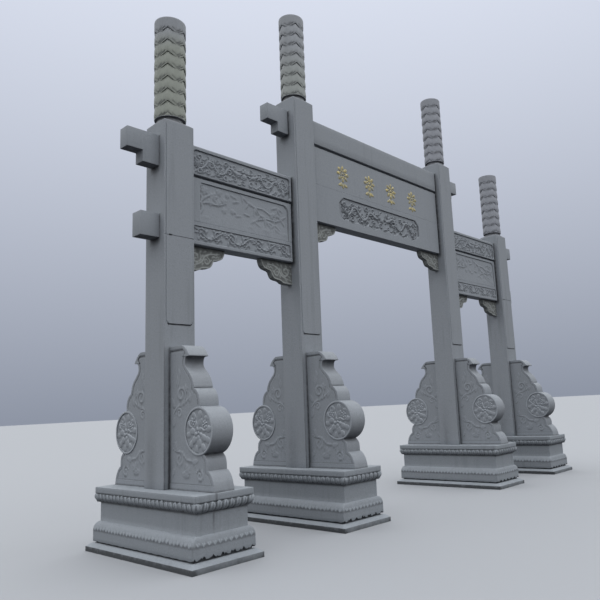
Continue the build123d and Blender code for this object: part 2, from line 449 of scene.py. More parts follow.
class Relief:
    """Carving drawn on a face, as heights from 0 on its ground to about 1."""

    def __init__(self, along, up):
        self.u = np.asarray(along, float)
        self.v = np.asarray(up, float)
        self.h = np.zeros((len(self.v), len(self.u)))

    def window(self, x0, x1, y0, y1):
        """The rows and columns of cells inside a rectangle."""
        a, b = np.searchsorted(self.u, (x0, x1))
        c, d = np.searchsorted(self.v, (y0, y1))
        return slice(c, d), slice(a, b)

    def raise_to(self, rows, columns, value):
        """Lifts cells to a height where they are lower."""
        self.h[rows, columns] = np.maximum(self.h[rows, columns], value)

    def ridge(self, path, width, height=1.0, ends=(0.35, 0.35)):
        """A rounded ridge along a path, narrowing to its ends."""
        path = np.asarray(path, float)
        steps = np.hypot(*np.diff(path, axis=0).T)
        reach = np.concatenate([[0.0], np.cumsum(steps)])
        total = max(reach[-1], 1e-9)
        for i in range(len(path) - 1):
            (ax, ay), (bx, by) = path[i], path[i + 1]
            t = 0.5 * (reach[i] + reach[i + 1]) / total
            swell = min(1.0, ends[0] + (1 - ends[0]) * t * 3, ends[1] + (1 - ends[1]) * (1 - t) * 3)
            w = width * swell
            rows, columns = self.window(min(ax, bx) - w, max(ax, bx) + w,
                                        min(ay, by) - w, max(ay, by) + w)
            u = self.u[columns][None, :] - ax
            v = self.v[rows][:, None] - ay
            if u.size == 0 or v.size == 0:
                continue
            dx, dy = bx - ax, by - ay
            along = np.clip((u * dx + v * dy) / max(dx * dx + dy * dy, 1e-12), 0.0, 1.0)
            away = np.hypot(u - along * dx, v - along * dy) / w
            self.raise_to(rows, columns, height * np.sqrt(np.clip(1.0 - away ** 2, 0.0, 1.0)))

    def around(self, x, y, reach, turn):
        """The cells about a place, and how far each lies from it along and across a direction."""
        rows, columns = self.window(x - reach, x + reach, y - reach, y + reach)
        u = self.u[columns][None, :] - x
        v = self.v[rows][:, None] - y
        c, s = math.cos(math.radians(turn)), math.sin(math.radians(turn))
        return rows, columns, u * c + v * s, v * c - u * s

    def dome(self, x, y, rx, ry, turn=0.0, height=1.0):
        """A rounded boss on an ellipse."""
        rows, columns, a, b = self.around(x, y, max(rx, ry), turn)
        bulge = 1.0 - (a / rx) ** 2 - (b / ry) ** 2
        self.raise_to(rows, columns, height * np.sqrt(np.clip(bulge, 0.0, 1.0)))

    def leaf(self, x, y, turn, length, width, height=1.0, rib=0.35):
        """A pointed leaf from its foot, with a sunk middle rib."""
        rows, columns, a, b = self.around(x, y, length, turn)
        a = a / length
        b = b / width
        half = np.where((a > 0) & (a < 1), np.sin(np.pi * np.clip(a, 0, 1) ** 0.75), 0.0)
        inside = np.clip(1.0 - (b / np.maximum(half, 1e-6)) ** 2, 0.0, 1.0) * (half > 0.02)
        notch = 1.0 - rib * np.exp(-(b / 0.22) ** 2)
        self.raise_to(rows, columns, height * np.sqrt(inside) * notch)

    def ring(self, x, y, reach, count, turn, size, flat, heights):
        """Rounded petals side by side on a circle, each pointing outwards, their heights in turn."""
        for k in range(count):
            degrees = turn + 360.0 * k / count
            angle = math.radians(degrees)
            self.dome(x + reach * math.cos(angle), y + reach * math.sin(angle), size, flat * size, degrees,
                      heights[k % len(heights)])

    def blossom(self, x, y, radius, turn, height):
        """An open flower of round petals about a boss."""
        self.ring(x, y, radius * 0.58, PETALS, turn, radius * 0.45, 0.8, (height * 0.85,))
        self.dome(x, y, radius * 0.26, radius * 0.26, 0.0, height)


def box_depth(u, v, x0, x1, y0, y1, corner, cut=False):
    """Distance inside a rectangle with rounded or cut corners; negative outside."""
    gx = 0.5 * (x1 - x0) - np.abs(u - 0.5 * (x0 + x1))
    gy = 0.5 * (y1 - y0) - np.abs(v - 0.5 * (y0 + y1))
    near = np.minimum(gx, gy)
    if cut:
        return np.minimum(near, (gx + gy - corner) * 0.7071)
    return np.where((gx < corner) & (gy < corner), corner - np.hypot(corner - gx, corner - gy), near)


def blurred(field, reach=2):
    """The mean over a square of cells about each one."""
    span = 2 * reach + 1
    rows, columns = field.shape
    padded = np.pad(field, reach, mode="edge")
    return sum(padded[i:i + rows, j:j + columns] for i in range(span) for j in range(span)) / span ** 2


def shade_dirt_and_highlight(off, depth=0.012, under=1.0):
    """Dirt and painted shade in the hollows of a carved face, painted shadow under what juts out, and
    below 0 painted highlights with wear on its upper edges and crests.
    """
    above = np.vstack([off[1:], off[-1:]])
    higher = np.vstack([off[2:], off[-1:], off[-1:]])
    jut = np.maximum(above, higher) - off
    low = blurred(off) - off
    return np.clip(0.9 * low / depth + under * jut / depth, -1.0, 1.0)


def sampled(field, row, column):
    """A field read between its cells, at fractional rows and columns."""
    i = np.clip(row.astype(int), 0, field.shape[0] - 2)
    j = np.clip(column.astype(int), 0, field.shape[1] - 2)
    a, b = np.clip(row - i, 0.0, 1.0), np.clip(column - j, 0.0, 1.0)
    low = field[i, j] * (1 - b) + field[i, j + 1] * b
    high = field[i + 1, j] * (1 - b) + field[i + 1, j + 1] * b
    return low * (1 - a) + high * a


def spaced(levels, gap=0.001):
    """Levels in order, none closer than a gap to the one before it."""
    kept = []
    for level in sorted(levels):
        if not kept or level - kept[-1] >= gap:
            kept.append(level)
    kept[-1] = max(levels)
    return np.array(kept)


def thick(stone, x, z, front, rear, front_dark=None, rear_dark=None, rim_dark=0.0):
    """A slab between two faces over the same grid of places, closed round its rim."""
    x, z, front, rear = (np.array(part) for part in np.broadcast_arrays(x, z, front, rear))
    stone.skin(x, front, z, front_dark)
    stone.skin(x, rear, z, rear_dark)
    for cut in (np.s_[0], np.s_[-1], np.s_[:, 0], np.s_[:, -1]):
        stone.skin(x[cut], np.stack([front[cut], rear[cut]]), z[cut], rim_dark)


SHADOW_DEPTH = 0.045
# Strength of the painted highlights with wear on carved edges
HIGHLIGHT_AND_WEAR_GAIN = 2.1


def carved_block(stone, box, draw, step, arris, crest, rows, shade_and_grime):
    """A block whose front and back carry the same carving. draw gives the offsets on such a face."""
    (x0, y0, z0), (x1, y1, z1) = box
    length, height = x1 - x0, z1 - z0
    u = stations(length, step, arris)
    near_crest = height - crest * np.array((1.0, 0.6, 0.3, 0.1))
    v = spaced([*stations(height, step, arris), *(height - np.array(rows)), *near_crest])
    off = draw(u, v, length, height)
    near = np.minimum(np.minimum(u, length - u)[None, :], np.minimum(v, height - v)[:, None])
    fall = np.maximum(softened(near, arris), softened(height - v, crest)[:, None])
    # Painted shade with dirt in the carving's hollows and under what juts out, painted highlights with
    # wear on its upper edges
    dark = shade_dirt_and_highlight(off)
    dark = np.where(dark > 0, shade_and_grime, HIGHLIGHT_AND_WEAR_GAIN) * dark
    # Painted shadow: a black line under and beside the frame of a sunk field
    wide = np.pad(off, ((0, 2), (1, 1)), mode="edge")
    frame_edge = np.maximum.reduce([wide[1:-1, 1:-1], wide[2:, 1:-1], wide[:-2, :-2], wide[:-2, 2:]])
    dark = np.where((frame_edge > -0.0004) & (off < -0.004), 1.0, dark)
    # Painted shadow: black in the slot cut under the beam above
    dark = np.clip(np.maximum(dark, off < -0.9 * SHADOW_DEPTH), -1.0, 1.0)
    thick(stone, (x0 + u)[None, :], (z0 + v)[:, None], y0 + fall - off, y1 - fall + off[:, ::-1],
          dark, dark[:, ::-1])


# Ground slabs and plinths

SLAB_HALF = (0.465, 1.147)
SLAB_EDGE = 0.060
SLAB_CROWN = 0.095
BLOCK_HALF = (0.407, 1.075)
BLOCK_FOOT = 0.112
SHOULDER_FOOT = 0.245
WAIST_HALF = (0.332, 1.038)
WAIST_FOOT = 0.345
PETAL_FOOT = 0.572
PLINTH_HALF = (0.379, 1.093)
PETAL_TOP = 0.682
# Where a dark run crosses each plinth's front, or a place off the stone for none
UNSTAINED = 9.0
STAINS = (-0.122, UNSTAINED, UNSTAINED, UNSTAINED)


def moulded(rings, count_x, count_y, arris=0.006):
    """A stone moulded alike round all four sides, from rings of half width, half length and height."""
    t = np.linspace(-1, 1, count_x)
    s = np.linspace(-1, 1, count_y)
    chip = 0.3 * arris
    all_x, all_y = [], []
    for a, b, _ in rings:
        tx, sy = t * (a - arris), s * (b - arris)
        all_x.append(np.concatenate([tx, [a - chip], np.full(count_y, a), [a - chip], tx[::-1],
                                     [chip - a], np.full(count_y, -a), [chip - a], tx[:1]]))
        all_y.append(np.concatenate([np.full(count_x, -b), [chip - b], sy, [b - chip],
                                     np.full(count_x, b), [b - chip], sy[::-1], [chip - b], [-b]]))
    x, y = np.array(all_x), np.array(all_y)
    return x, y, np.array([ring[2] for ring in rings])[:, None] + 0 * x


def capped(stone, x, y, z, hollow):
    """A ringed skin closed by a fan at its foot and its head."""
    for k in (0, -1):
        fans = [np.vstack([0 * ring[[k]] + ring[k].mean(), ring[[k]]]) for ring in (x, y, z)]
        stone.skin(*fans, hollow[k])
    stone.skin(x, y, z, hollow)


def slab_mesh():
    """The low slab under a plinth: an upright edge, then a top that slopes up to the block's foot."""
    (a, b), (c, d) = SLAB_HALF, BLOCK_HALF
    rings = [(a, b, 0.0), (a, b, SLAB_EDGE - 0.005), (a - 0.0015, b - 0.0015, SLAB_EDGE - 0.0015),
             (a - 0.005, b - 0.005, SLAB_EDGE), (c + 0.026, d + 0.026, SLAB_CROWN - 0.009),
             (c + 0.008, d + 0.008, SLAB_CROWN), (c - 0.05, d - 0.05, SLAB_CROWN)]
    stone = Stone()
    x, y, z = moulded(rings, 15, 33, 0.004)
    wear_and_shade = wander(x[0] * 9 + y[0] * 5, 3)
    z[3:5] -= 0.0016 * np.abs(wear_and_shade)
    # The upright edge is painted darker, most at its foot and on the short ends
    darker_ends = np.where(np.abs(x[0]) > a - 0.005, 1.9, 1.0) * (0.9 + 0.1 * wear_and_shade)
    darkening = np.zeros(x.shape)
    darkening[:3] = np.array([1.15, 0.70, 0.45])[:, None] * darker_ends
    capped(stone, x, y, z, darkening)
    return stone


def wander(place, seed):
    """A smooth uneven run of values between about -1 and 1, the same each time."""
    out = 0.0
    for k, (rate, part) in enumerate(((1.0, 0.5), (2.3, 0.3), (5.1, 0.25))):
        out = out + part * np.sin(rate * np.asarray(place) * 2.1 + 1.7 * seed + 2.4 * k)
    return out


def plinth_mesh(stain):
    """Rings of a moulded profile round the long plinth, with a dark run down its front at stain."""
    (a, b), (c, d), (e, f) = BLOCK_HALF, WAIST_HALF, PLINTH_HALF
    inset = 0.030
    rings = [(a - inset, b - inset, SLAB_CROWN - 0.002), (a - inset, b - inset, BLOCK_FOOT - 0.001),
             (a - 0.003, b - 0.003, BLOCK_FOOT), (a, b, BLOCK_FOOT + 0.005), (a, b, 0.16), (a, b, 0.222),
             (a, b, SHOULDER_FOOT - 0.003)]
    for angle in np.linspace(4, 88, 10):
        t = math.radians(angle)
        share = 1.0 - math.cos(t)
        rings.append((a + (c - a) * share, b + (d - b) * share,
                      SHOULDER_FOOT + (WAIST_FOOT - SHOULDER_FOOT) * math.sin(t)))
    rings += [(c, d, level) for level in (WAIST_FOOT + 0.004, 0.40, 0.46, 0.545, PETAL_FOOT - 0.003)]
    rings += [(c + 0.013, d + 0.012, PETAL_FOOT), (0.355, 1.065, 0.590), (0.364, 1.074, 0.612),
              (0.369, 1.082, 0.638), (0.367, 1.081, 0.662), (0.361, 1.073, 0.678),
              (e - 0.002, f - 0.002, PETAL_TOP)]
    rings += [(e, f, level) for level in (PETAL_TOP + 0.003, 0.70, 0.725, PLINTH_TOP - 0.005)]
    rings += [(e - 0.0015, f - 0.0015, PLINTH_TOP - 0.0015), (e - 0.005, f - 0.005, PLINTH_TOP)]
    x, y, z = moulded(rings, 53, 61)
    along = x[2] * 23 + y[2] * 19
    worst = np.where(np.abs(y[2]) > BLOCK_HALF[1] - 0.02, 1.5, 0.25)
    ragged = np.clip(wander(along, 1) + 0.35, 0.05, 1.0) * worst
    z[1] += 0.016 * ragged
    z[2:4] += 0.022 * ragged
    hollow = np.zeros(x.shape)
    # Dark mortar with painted shade in the recessed foot joint, and painted shadow under the lower petals'
    # tips, at the foot of the upper petals and under the top slab
    hollow[0:3] = 1.6
    hollow[(z > 0.235) & (z < 0.265)] = 0.6
    hollow[(z > 0.56) & (z < 0.60)] = 1.0
    hollow[(z > 0.67) & (z < 0.681)] = 0.8
    run = np.exp(-((x - stain) / 0.013) ** 2) * (y < 0.01 - WAIST_HALF[1])
    run = run * np.interp(z, (0.30, 0.40, 0.57, 0.75), (0.0, 0.35, 1.0, 0.9))
    stone = Stone()
    capped(stone, x, y, z, np.maximum(hollow, run))
    return stone


def petal_shape(width, line, swell, waist, tone, smooth=0.0, bend=0.0):
    """A closed carved petal from its root to its tip along a line of (out, up), facing -Y, for instancing.
    bend folds it back about its middle, to wrap round a corner."""
    rows = np.linspace(0.0, 1.0, 7)
    columns = np.array([-1.0, -0.6, -0.3, 0.0, 0.3, 0.6, 1.0])
    q, p = np.meshgrid(rows, columns, indexing="ij")
    place = np.linspace(0.0, 1.0, len(line))
    out = np.interp(rows, place, [n[0] for n in line])[:, None]
    up = np.interp(rows, place, [n[1] for n in line])[:, None]
    half = 0.5 * width * np.sqrt(np.clip(1.0 - q ** 3.4, 0.0, 1.0)) * (1.0 - waist * (1.0 - q) ** 2)
    x = p * half
    rim = (1.0 - np.abs(p) ** 2.2) * np.clip(4.0 * (1.0 - q), 0.0, 1.0) * np.clip(6.0 * q, 0.0, 1.0)
    carved = np.clip((q - smooth) / 0.25, 0.12, 1.0)
    rim = rim * carved
    crease = 1.0 - 0.75 * np.exp(-(p / 0.25) ** 2) * (q < 0.8)
    work = Stone()
    # Painted highlight along each petal's raised rim, painted shade on the rest at the given tone
    tone = np.clip((tone - 1.7 * rim * crease) * carved, -0.9, 0.9)
    fold = bend * (np.hypot(x, 0.012) - 0.012)
    lean = 0.25 * swell * rim * np.sign(up[-1, 0] + 1e-6)
    work.skin(x, fold - (out + swell * rim * crease - 0.004), up + lean, tone)
    work.skin(x, fold - (out - 0.004 - 0.008 * np.clip(6 * rim, 0, 1)), up)
    petal = bpy.data.objects.new("petal_pattern", work.mesh("petal"))
    bpy.context.scene.collection.objects.link(petal)
    return petal


def geometry_group(name, inputs):
    """An empty geometry tree with named inputs, the sockets it draws from and the one it ends in."""
    whole = {"Geometry": "Geometry"}
    group, source, result = new_group(name, "GeometryNodeTree", {**whole, **inputs}, whole)
    return group, source, result["Geometry"]


def baked(group, values, name):
    """Runs a geometry tree on an empty mesh with these input values and keeps its result as a mesh."""
    holder = bpy.data.objects.new(name, bpy.data.meshes.new(name))
    bpy.context.scene.collection.objects.link(holder)
    modifier = holder.modifiers.new("build", "NODES")
    modifier.node_group = group
    for item in group.interface.items_tree:
        if item.item_type == "SOCKET" and item.in_out == "INPUT" and item.name in values:
            modifier[item.identifier] = values[item.name]
    bpy.context.view_layer.update()
    depsgraph = bpy.context.evaluated_depsgraph_get()
    mesh = bpy.data.meshes.new_from_object(holder.evaluated_get(depsgraph))
    holder.modifiers.remove(modifier)
    bpy.data.objects.remove(holder)
    return mesh


def painted(group, geometry, stone, result):
    """Gives the geometry its material and makes it the group's result."""
    paint = add(group, "GeometryNodeSetMaterial", {"Geometry": geometry, "Material": stone})
    feed(group, result, paint.outputs[0])
    return group


def build_petal_row():
    """Petals stood side by side along the four sides of a rectangle, with a folded one on each corner."""
    group, source, result = geometry_group("petal_row", {
        "Petal": "Object", "Corner": "Object", "Long": 2.0, "Short": 0.7, "Inset": 0.0, "Count long": 20,
        "Count short": 7, "Level": 0.6, "Stone": "Material"})
    inset = Value(group, source["Inset"])
    shape = add(group, "GeometryNodeObjectInfo", {"Object": source["Petal"]}).outputs["Geometry"]
    mitre = add(group, "GeometryNodeObjectInfo", {"Object": source["Corner"]}).outputs["Geometry"]
    gather = group.nodes.new("GeometryNodeJoinGeometry")
    for quarter in range(4):
        along, across = ("Long", "Short") if quarter % 2 else ("Short", "Long")
        number = source["Count long" if quarter % 2 else "Count short"]
        length = Value(group, source[along])
        pitch = (length - inset * 2.0) / number
        first = length.use("MULTIPLY_ADD", -0.5, pitch * 0.5 + inset)
        back = Value(group, source[across]) * -0.5
        start = combined(group, first, back, source["Level"])
        feeds = {"Count": number, "Start Location": start, "Offset": combined(group, pitch)}
        row = add(group, "GeometryNodeMeshLine", feeds, mode="OFFSET")
        feeds = {0: (0.82, 0.90, 0.90), 1: (1.08, 1.10, 1.04), "Seed": 3 + quarter}
        uneven = add(group, "FunctionNodeRandomValue", feeds, data_type="FLOAT_VECTOR")
        feeds = {"Points": row.outputs[0], "Instance": shape, "Scale": uneven.outputs[0]}
        stand = add(group, "GeometryNodeInstanceOnPoints", feeds)
        edge = combined(group, length * -0.5, back, source["Level"])
        corner = add(group, "GeometryNodeMeshLine", {"Count": 1, "Start Location": edge}, mode="OFFSET")
        feeds = {"Points": corner.outputs[0], "Instance": mitre, "Scale": (1.0, 1.4, 1.0),
                 "Rotation": (0.0, 0.0, math.radians(-45.0))}
        last = add(group, "GeometryNodeInstanceOnPoints", feeds)
        both = group.nodes.new("GeometryNodeJoinGeometry")
        for part in (stand, last):
            feed(group, both.inputs[0], part.outputs[0])
        whole = add(group, "GeometryNodeRealizeInstances", {0: both.outputs[0]})
        feeds = {0: whole.outputs[0], "Rotation": (0.0, 0.0, math.radians(90.0 * quarter))}
        turn = add(group, "GeometryNodeTransform", feeds)
        feed(group, gather.inputs[0], turn.outputs[0])
    return painted(group, gather.outputs[0], source["Stone"], result)


PETAL_ROW = build_petal_row()
UP_LINE = [(-0.040, 0.0), (-0.020, 0.018), (-0.004, 0.040), (0.001, 0.066), (-0.003, 0.090),
           (-0.010, 0.110)]
DOWN_LINE = [(-0.068, -0.002), (-0.036, -0.010), (-0.014, -0.030), (0.0, -0.062), (0.004, -0.088),
             (0.004, -0.112)]
UP_PETAL = petal_shape(0.086, UP_LINE, 0.015, 0.2, 1.0)
DOWN_PETAL = petal_shape(0.078, DOWN_LINE, 0.011, 0.5, 0.6, 0.45)
UP_CORNER = petal_shape(0.105, UP_LINE, 0.015, 0.2, 1.0, bend=0.7)


def make_plinths():
    """The four plinths and the slabs they stand on."""
    shared = {"Petal": UP_PETAL, "Corner": UP_CORNER, "Stone": PLINTH}
    upper = baked(PETAL_ROW, {**shared, "Long": 2 * PLINTH_HALF[1], "Short": 2 * PLINTH_HALF[0],
                              "Count long": 25, "Count short": 9, "Level": PETAL_FOOT + 0.002},
                  "upper_petals")
    shared = {"Petal": DOWN_PETAL, "Stone": PLINTH, "Inset": 0.026}
    lower = baked(PETAL_ROW, {**shared, "Long": 2 * BLOCK_HALF[1], "Short": 2 * BLOCK_HALF[0],
                              "Count long": 30, "Count short": 11, "Level": WAIST_FOOT - 0.002},
                  "lower_petals")
    slab = slab_mesh()
    for number, (x, stain) in enumerate(zip(STATIONS, STAINS), start=1):
        body = plinth_mesh(stain).mesh("plinth_body")
        mesh = moved(joined("plinth", [body, upper.copy(), lower.copy()]), x)
        place_piece(f"moulded_plinth_{number}", mesh, PLINTH, f"plinth_{number}",
                    MOULDED_EDGE)
        place_piece(f"foot_slab_{number}", moved(slab.mesh("slab"), x), PLINTH, f"ground_slab_{number}")
    for pattern in (UP_PETAL, DOWN_PETAL, UP_CORNER):
        bpy.data.objects.remove(pattern)


make_plinths()


# Pillars

COUPLET_HALF = 0.186
COUPLET_FOOT = 2.684
COUPLET_CORNER = 0.034
COUPLET_RAISE = 0.007
GROOVE = 0.010
SHADE_ACROSS = (0.0, 0.126, 0.132, 0.150, 0.165, 0.188, 0.202, 0.214)
SHADE_BESIDE = (0.0, 0.0, 1.7, 1.2, 0.25, 0.10, 0.45, 0.6)
BLOCK_JOINT = 3.79
# Where stones meet a pillar's side: lowest level, highest level and where their shade starts
BAY_SHADE, HEAD_SHADE, LOWER_HEAD_SHADE = 0.122, 0.088, 0.100
SIDE_BAY = (SIDE_LEVELS[0], SIDE_LEVELS[3], BAY_SHADE)
CENTRE_BAY = (CENTRE_LEVELS[0], CENTRE_LEVELS[3], BAY_SHADE)
SIDE_HEADS = ((*SIDE_LEVELS[:2], LOWER_HEAD_SHADE), (*SIDE_LEVELS[2:], HEAD_SHADE))
CENTRE_HEAD = (*CENTRE_LEVELS[2:], HEAD_SHADE)


def joint_shade(levels, y, zones):
    """Dark in the open joints beside the beams, and in the shadow beneath them."""
    dark = np.zeros((len(levels), len(y)))
    for low, high, half in zones:
        tall = np.interp(levels, (low - 0.10, low - 0.001, low + 0.001, high - 0.001, high + 0.001),
                         (0.0, 1.4, 1.4, 1.2, 0.0))
        wide = np.interp(np.abs(y), (half, half + 0.018, half + 0.06), (1.0, 0.35, 0.0))
        dark = np.maximum(dark, tall[:, None] * wide[None, :])
    return dark


def pillar_mesh(top, joint, right, left):
    """A square pillar with a raised, grooved panel front and back, drawn as rings.
    right and left are the beams that meet its sides."""
    foot, half, arris = PLINTH_TOP, HALF_PILLAR, 0.006
    head = top - 0.043
    edge = np.array([-0.022, -0.0105, -0.0095, -0.0008, 0.0008])
    fine = np.linspace(0.0, COUPLET_CORNER + 0.012, 8)
    levels = [top] + [foot + up for up in (0.0, 0.0018, arris, 0.1, 0.5, 1.3, 1.62, 1.66)]
    levels += [*np.linspace(foot + 0.1, COUPLET_FOOT - 0.1, 5)]
    levels += [*np.linspace(COUPLET_FOOT + 0.1, head - 0.05, 5)]
    levels += [*(COUPLET_FOOT + edge), *(COUPLET_FOOT + fine), *(head - edge)]
    levels += [BLOCK_JOINT + d for d in (-0.012, -0.009, -0.004, -0.002, 0.0, 0.002, 0.004, 0.009, 0.012)]
    for low, high, _ in (*right, *left):
        levels += [low - 0.10, low - 0.05, low - 0.002, low + 0.002, high - 0.002, high + 0.002]
    levels = np.unique(np.round(levels, 5))
    side = COUPLET_HALF - np.concatenate([edge, fine])
    side = np.concatenate([side[side < half - arris], SHADE_ACROSS[1:-1], [0.0, 0.1, half - arris]])
    across = np.unique(np.round(np.concatenate([side, -side]), 5))
    plain_side = np.array([-0.180, -0.155, -0.135, -0.118, -0.100, -0.082, 0.0])
    plain_side = np.concatenate([[arris - half], plain_side, -plain_side[-2::-1], [half - arris]])

    # The panel's foot has cut corners and its head is square
    inside = box_depth(across[None, :], levels[:, None], -COUPLET_HALF, COUPLET_HALF, COUPLET_FOOT, head,
                       COUPLET_CORNER, True)
    square = np.minimum((head - levels)[:, None], COUPLET_HALF - np.abs(across)[None, :])
    inside = np.where(levels[:, None] > head - 0.1, square, inside)
    low = levels[:, None] < COUPLET_FOOT + 0.004
    groove = (inside <= 0) & (inside > -GROOVE - 0.001)
    lift = np.where(inside > 0, COUPLET_RAISE, np.where(groove & low, -0.012, 0.0))
    # Painted shadow in the groove under the panel's foot, and faint painted shade in the groove elsewhere
    shade = np.where(groove, np.where(low, 1.3, 0.05), 0.0)

    # Shade beside the drum stone, which leans on the pillar's foot
    behind = np.interp(levels - foot, (0.0, 0.1, 0.5, 1.3, 1.62, 1.66), (1.6, 1.3, 0.9, 0.75, 0.55, 0.0))
    shade = shade + behind[:, None] * np.interp(np.abs(across), SHADE_ACROSS, SHADE_BESIDE)[None, :]
    if joint:
        seam = (np.abs(levels - BLOCK_JOINT) < 0.003)[:, None]
        open_joint = np.interp(across, (-0.165, -0.150, -0.126, -0.10, 0.0, 0.10, 0.18),
                               (0.4, 1.5, 1.5, 0.3, 0.6, 1.1, 1.5))
        shade = np.maximum(shade, seam * open_joint[None, :])
        lift = lift - 0.006 * seam
        # A broken spot where the two blocks meet
        spot = (np.abs(levels - BLOCK_JOINT) < 0.010)[:, None] & (np.abs(across + 0.139) < 0.0135)[None, :]
        shade = np.where(spot, 1.8, shade)
        lift = np.where(spot, lift - 0.005, lift)

    # The four faces in one ring: front, right, back and left, with a chamfer on every corner
    w = half - softened(levels - foot, arris)[:, None]
    chip = w - 0.3 * arris
    front = np.clip(across[None, :], arris - w, w - arris)
    flat = np.clip(plain_side[None, :], arris - w, w - arris)
    face = w + lift
    sides = w + 0 * flat
    x = np.hstack([front, chip, sides, chip, front[:, ::-1], -chip, -sides, -chip, front[:, :1]])
    y = np.hstack([-face, -chip, flat, chip, face[:, ::-1], chip, flat[:, ::-1], -chip, -face[:, :1]])
    none = 0 * chip
    damp = np.exp(-((plain_side - 0.06) / 0.09) ** 2)[None, :] * np.interp(
        levels - foot, (0.0, 0.1, 0.5, 0.9), (0.35, 0.38, 0.22, 0.0))[:, None]
    dark_right, dark_left = (joint_shade(levels, plain_side, zones) + damp for zones in (right, left))
    # Painted shade with dirt down the front-left arris beside the drum stone, darkest at the foot
    wear_and_shade = np.interp(levels - foot, (0.0, 0.1, 1.3, 1.62, 1.66), (1.0, 0.8, 0.6, 0.5, 0.0))[:, None]
    dark = np.hstack([shade, none, dark_right, none, shade[:, ::-1], none, dark_left[:, ::-1], wear_and_shade,
                      shade[:, :1]])
    stone = Stone()
    capped(stone, x, y, levels[:, None] + 0 * x, dark)
    return stone


def make_pillars():
    """The four pillars, the inner ones taller."""
    for number, x in enumerate(STATIONS, start=1):
        outer = number in OUTER_NUMBERS
        top = OUTER_TOP if outer else INNER_TOP
        outward = SIDE_HEADS if outer else (SIDE_BAY, CENTRE_HEAD)
        inward = (SIDE_BAY,) if outer else (CENTRE_BAY,)
        right, left = (inward, outward) if x < 0 else (outward, inward)
        mesh = pillar_mesh(top, outer, right, left).mesh("pillar")
        place_piece(f"square_pillar_{number}", moved(mesh, x), DRESSED, f"pillar_{number}")


make_pillars()


# Crowns

CROWN_RADIUS = 0.205
CROWN_GAP = 0.088
CROWN_HEIGHT = 1.412
NECK_RADIUS = 0.176
SHOULDER_TALL = 0.060


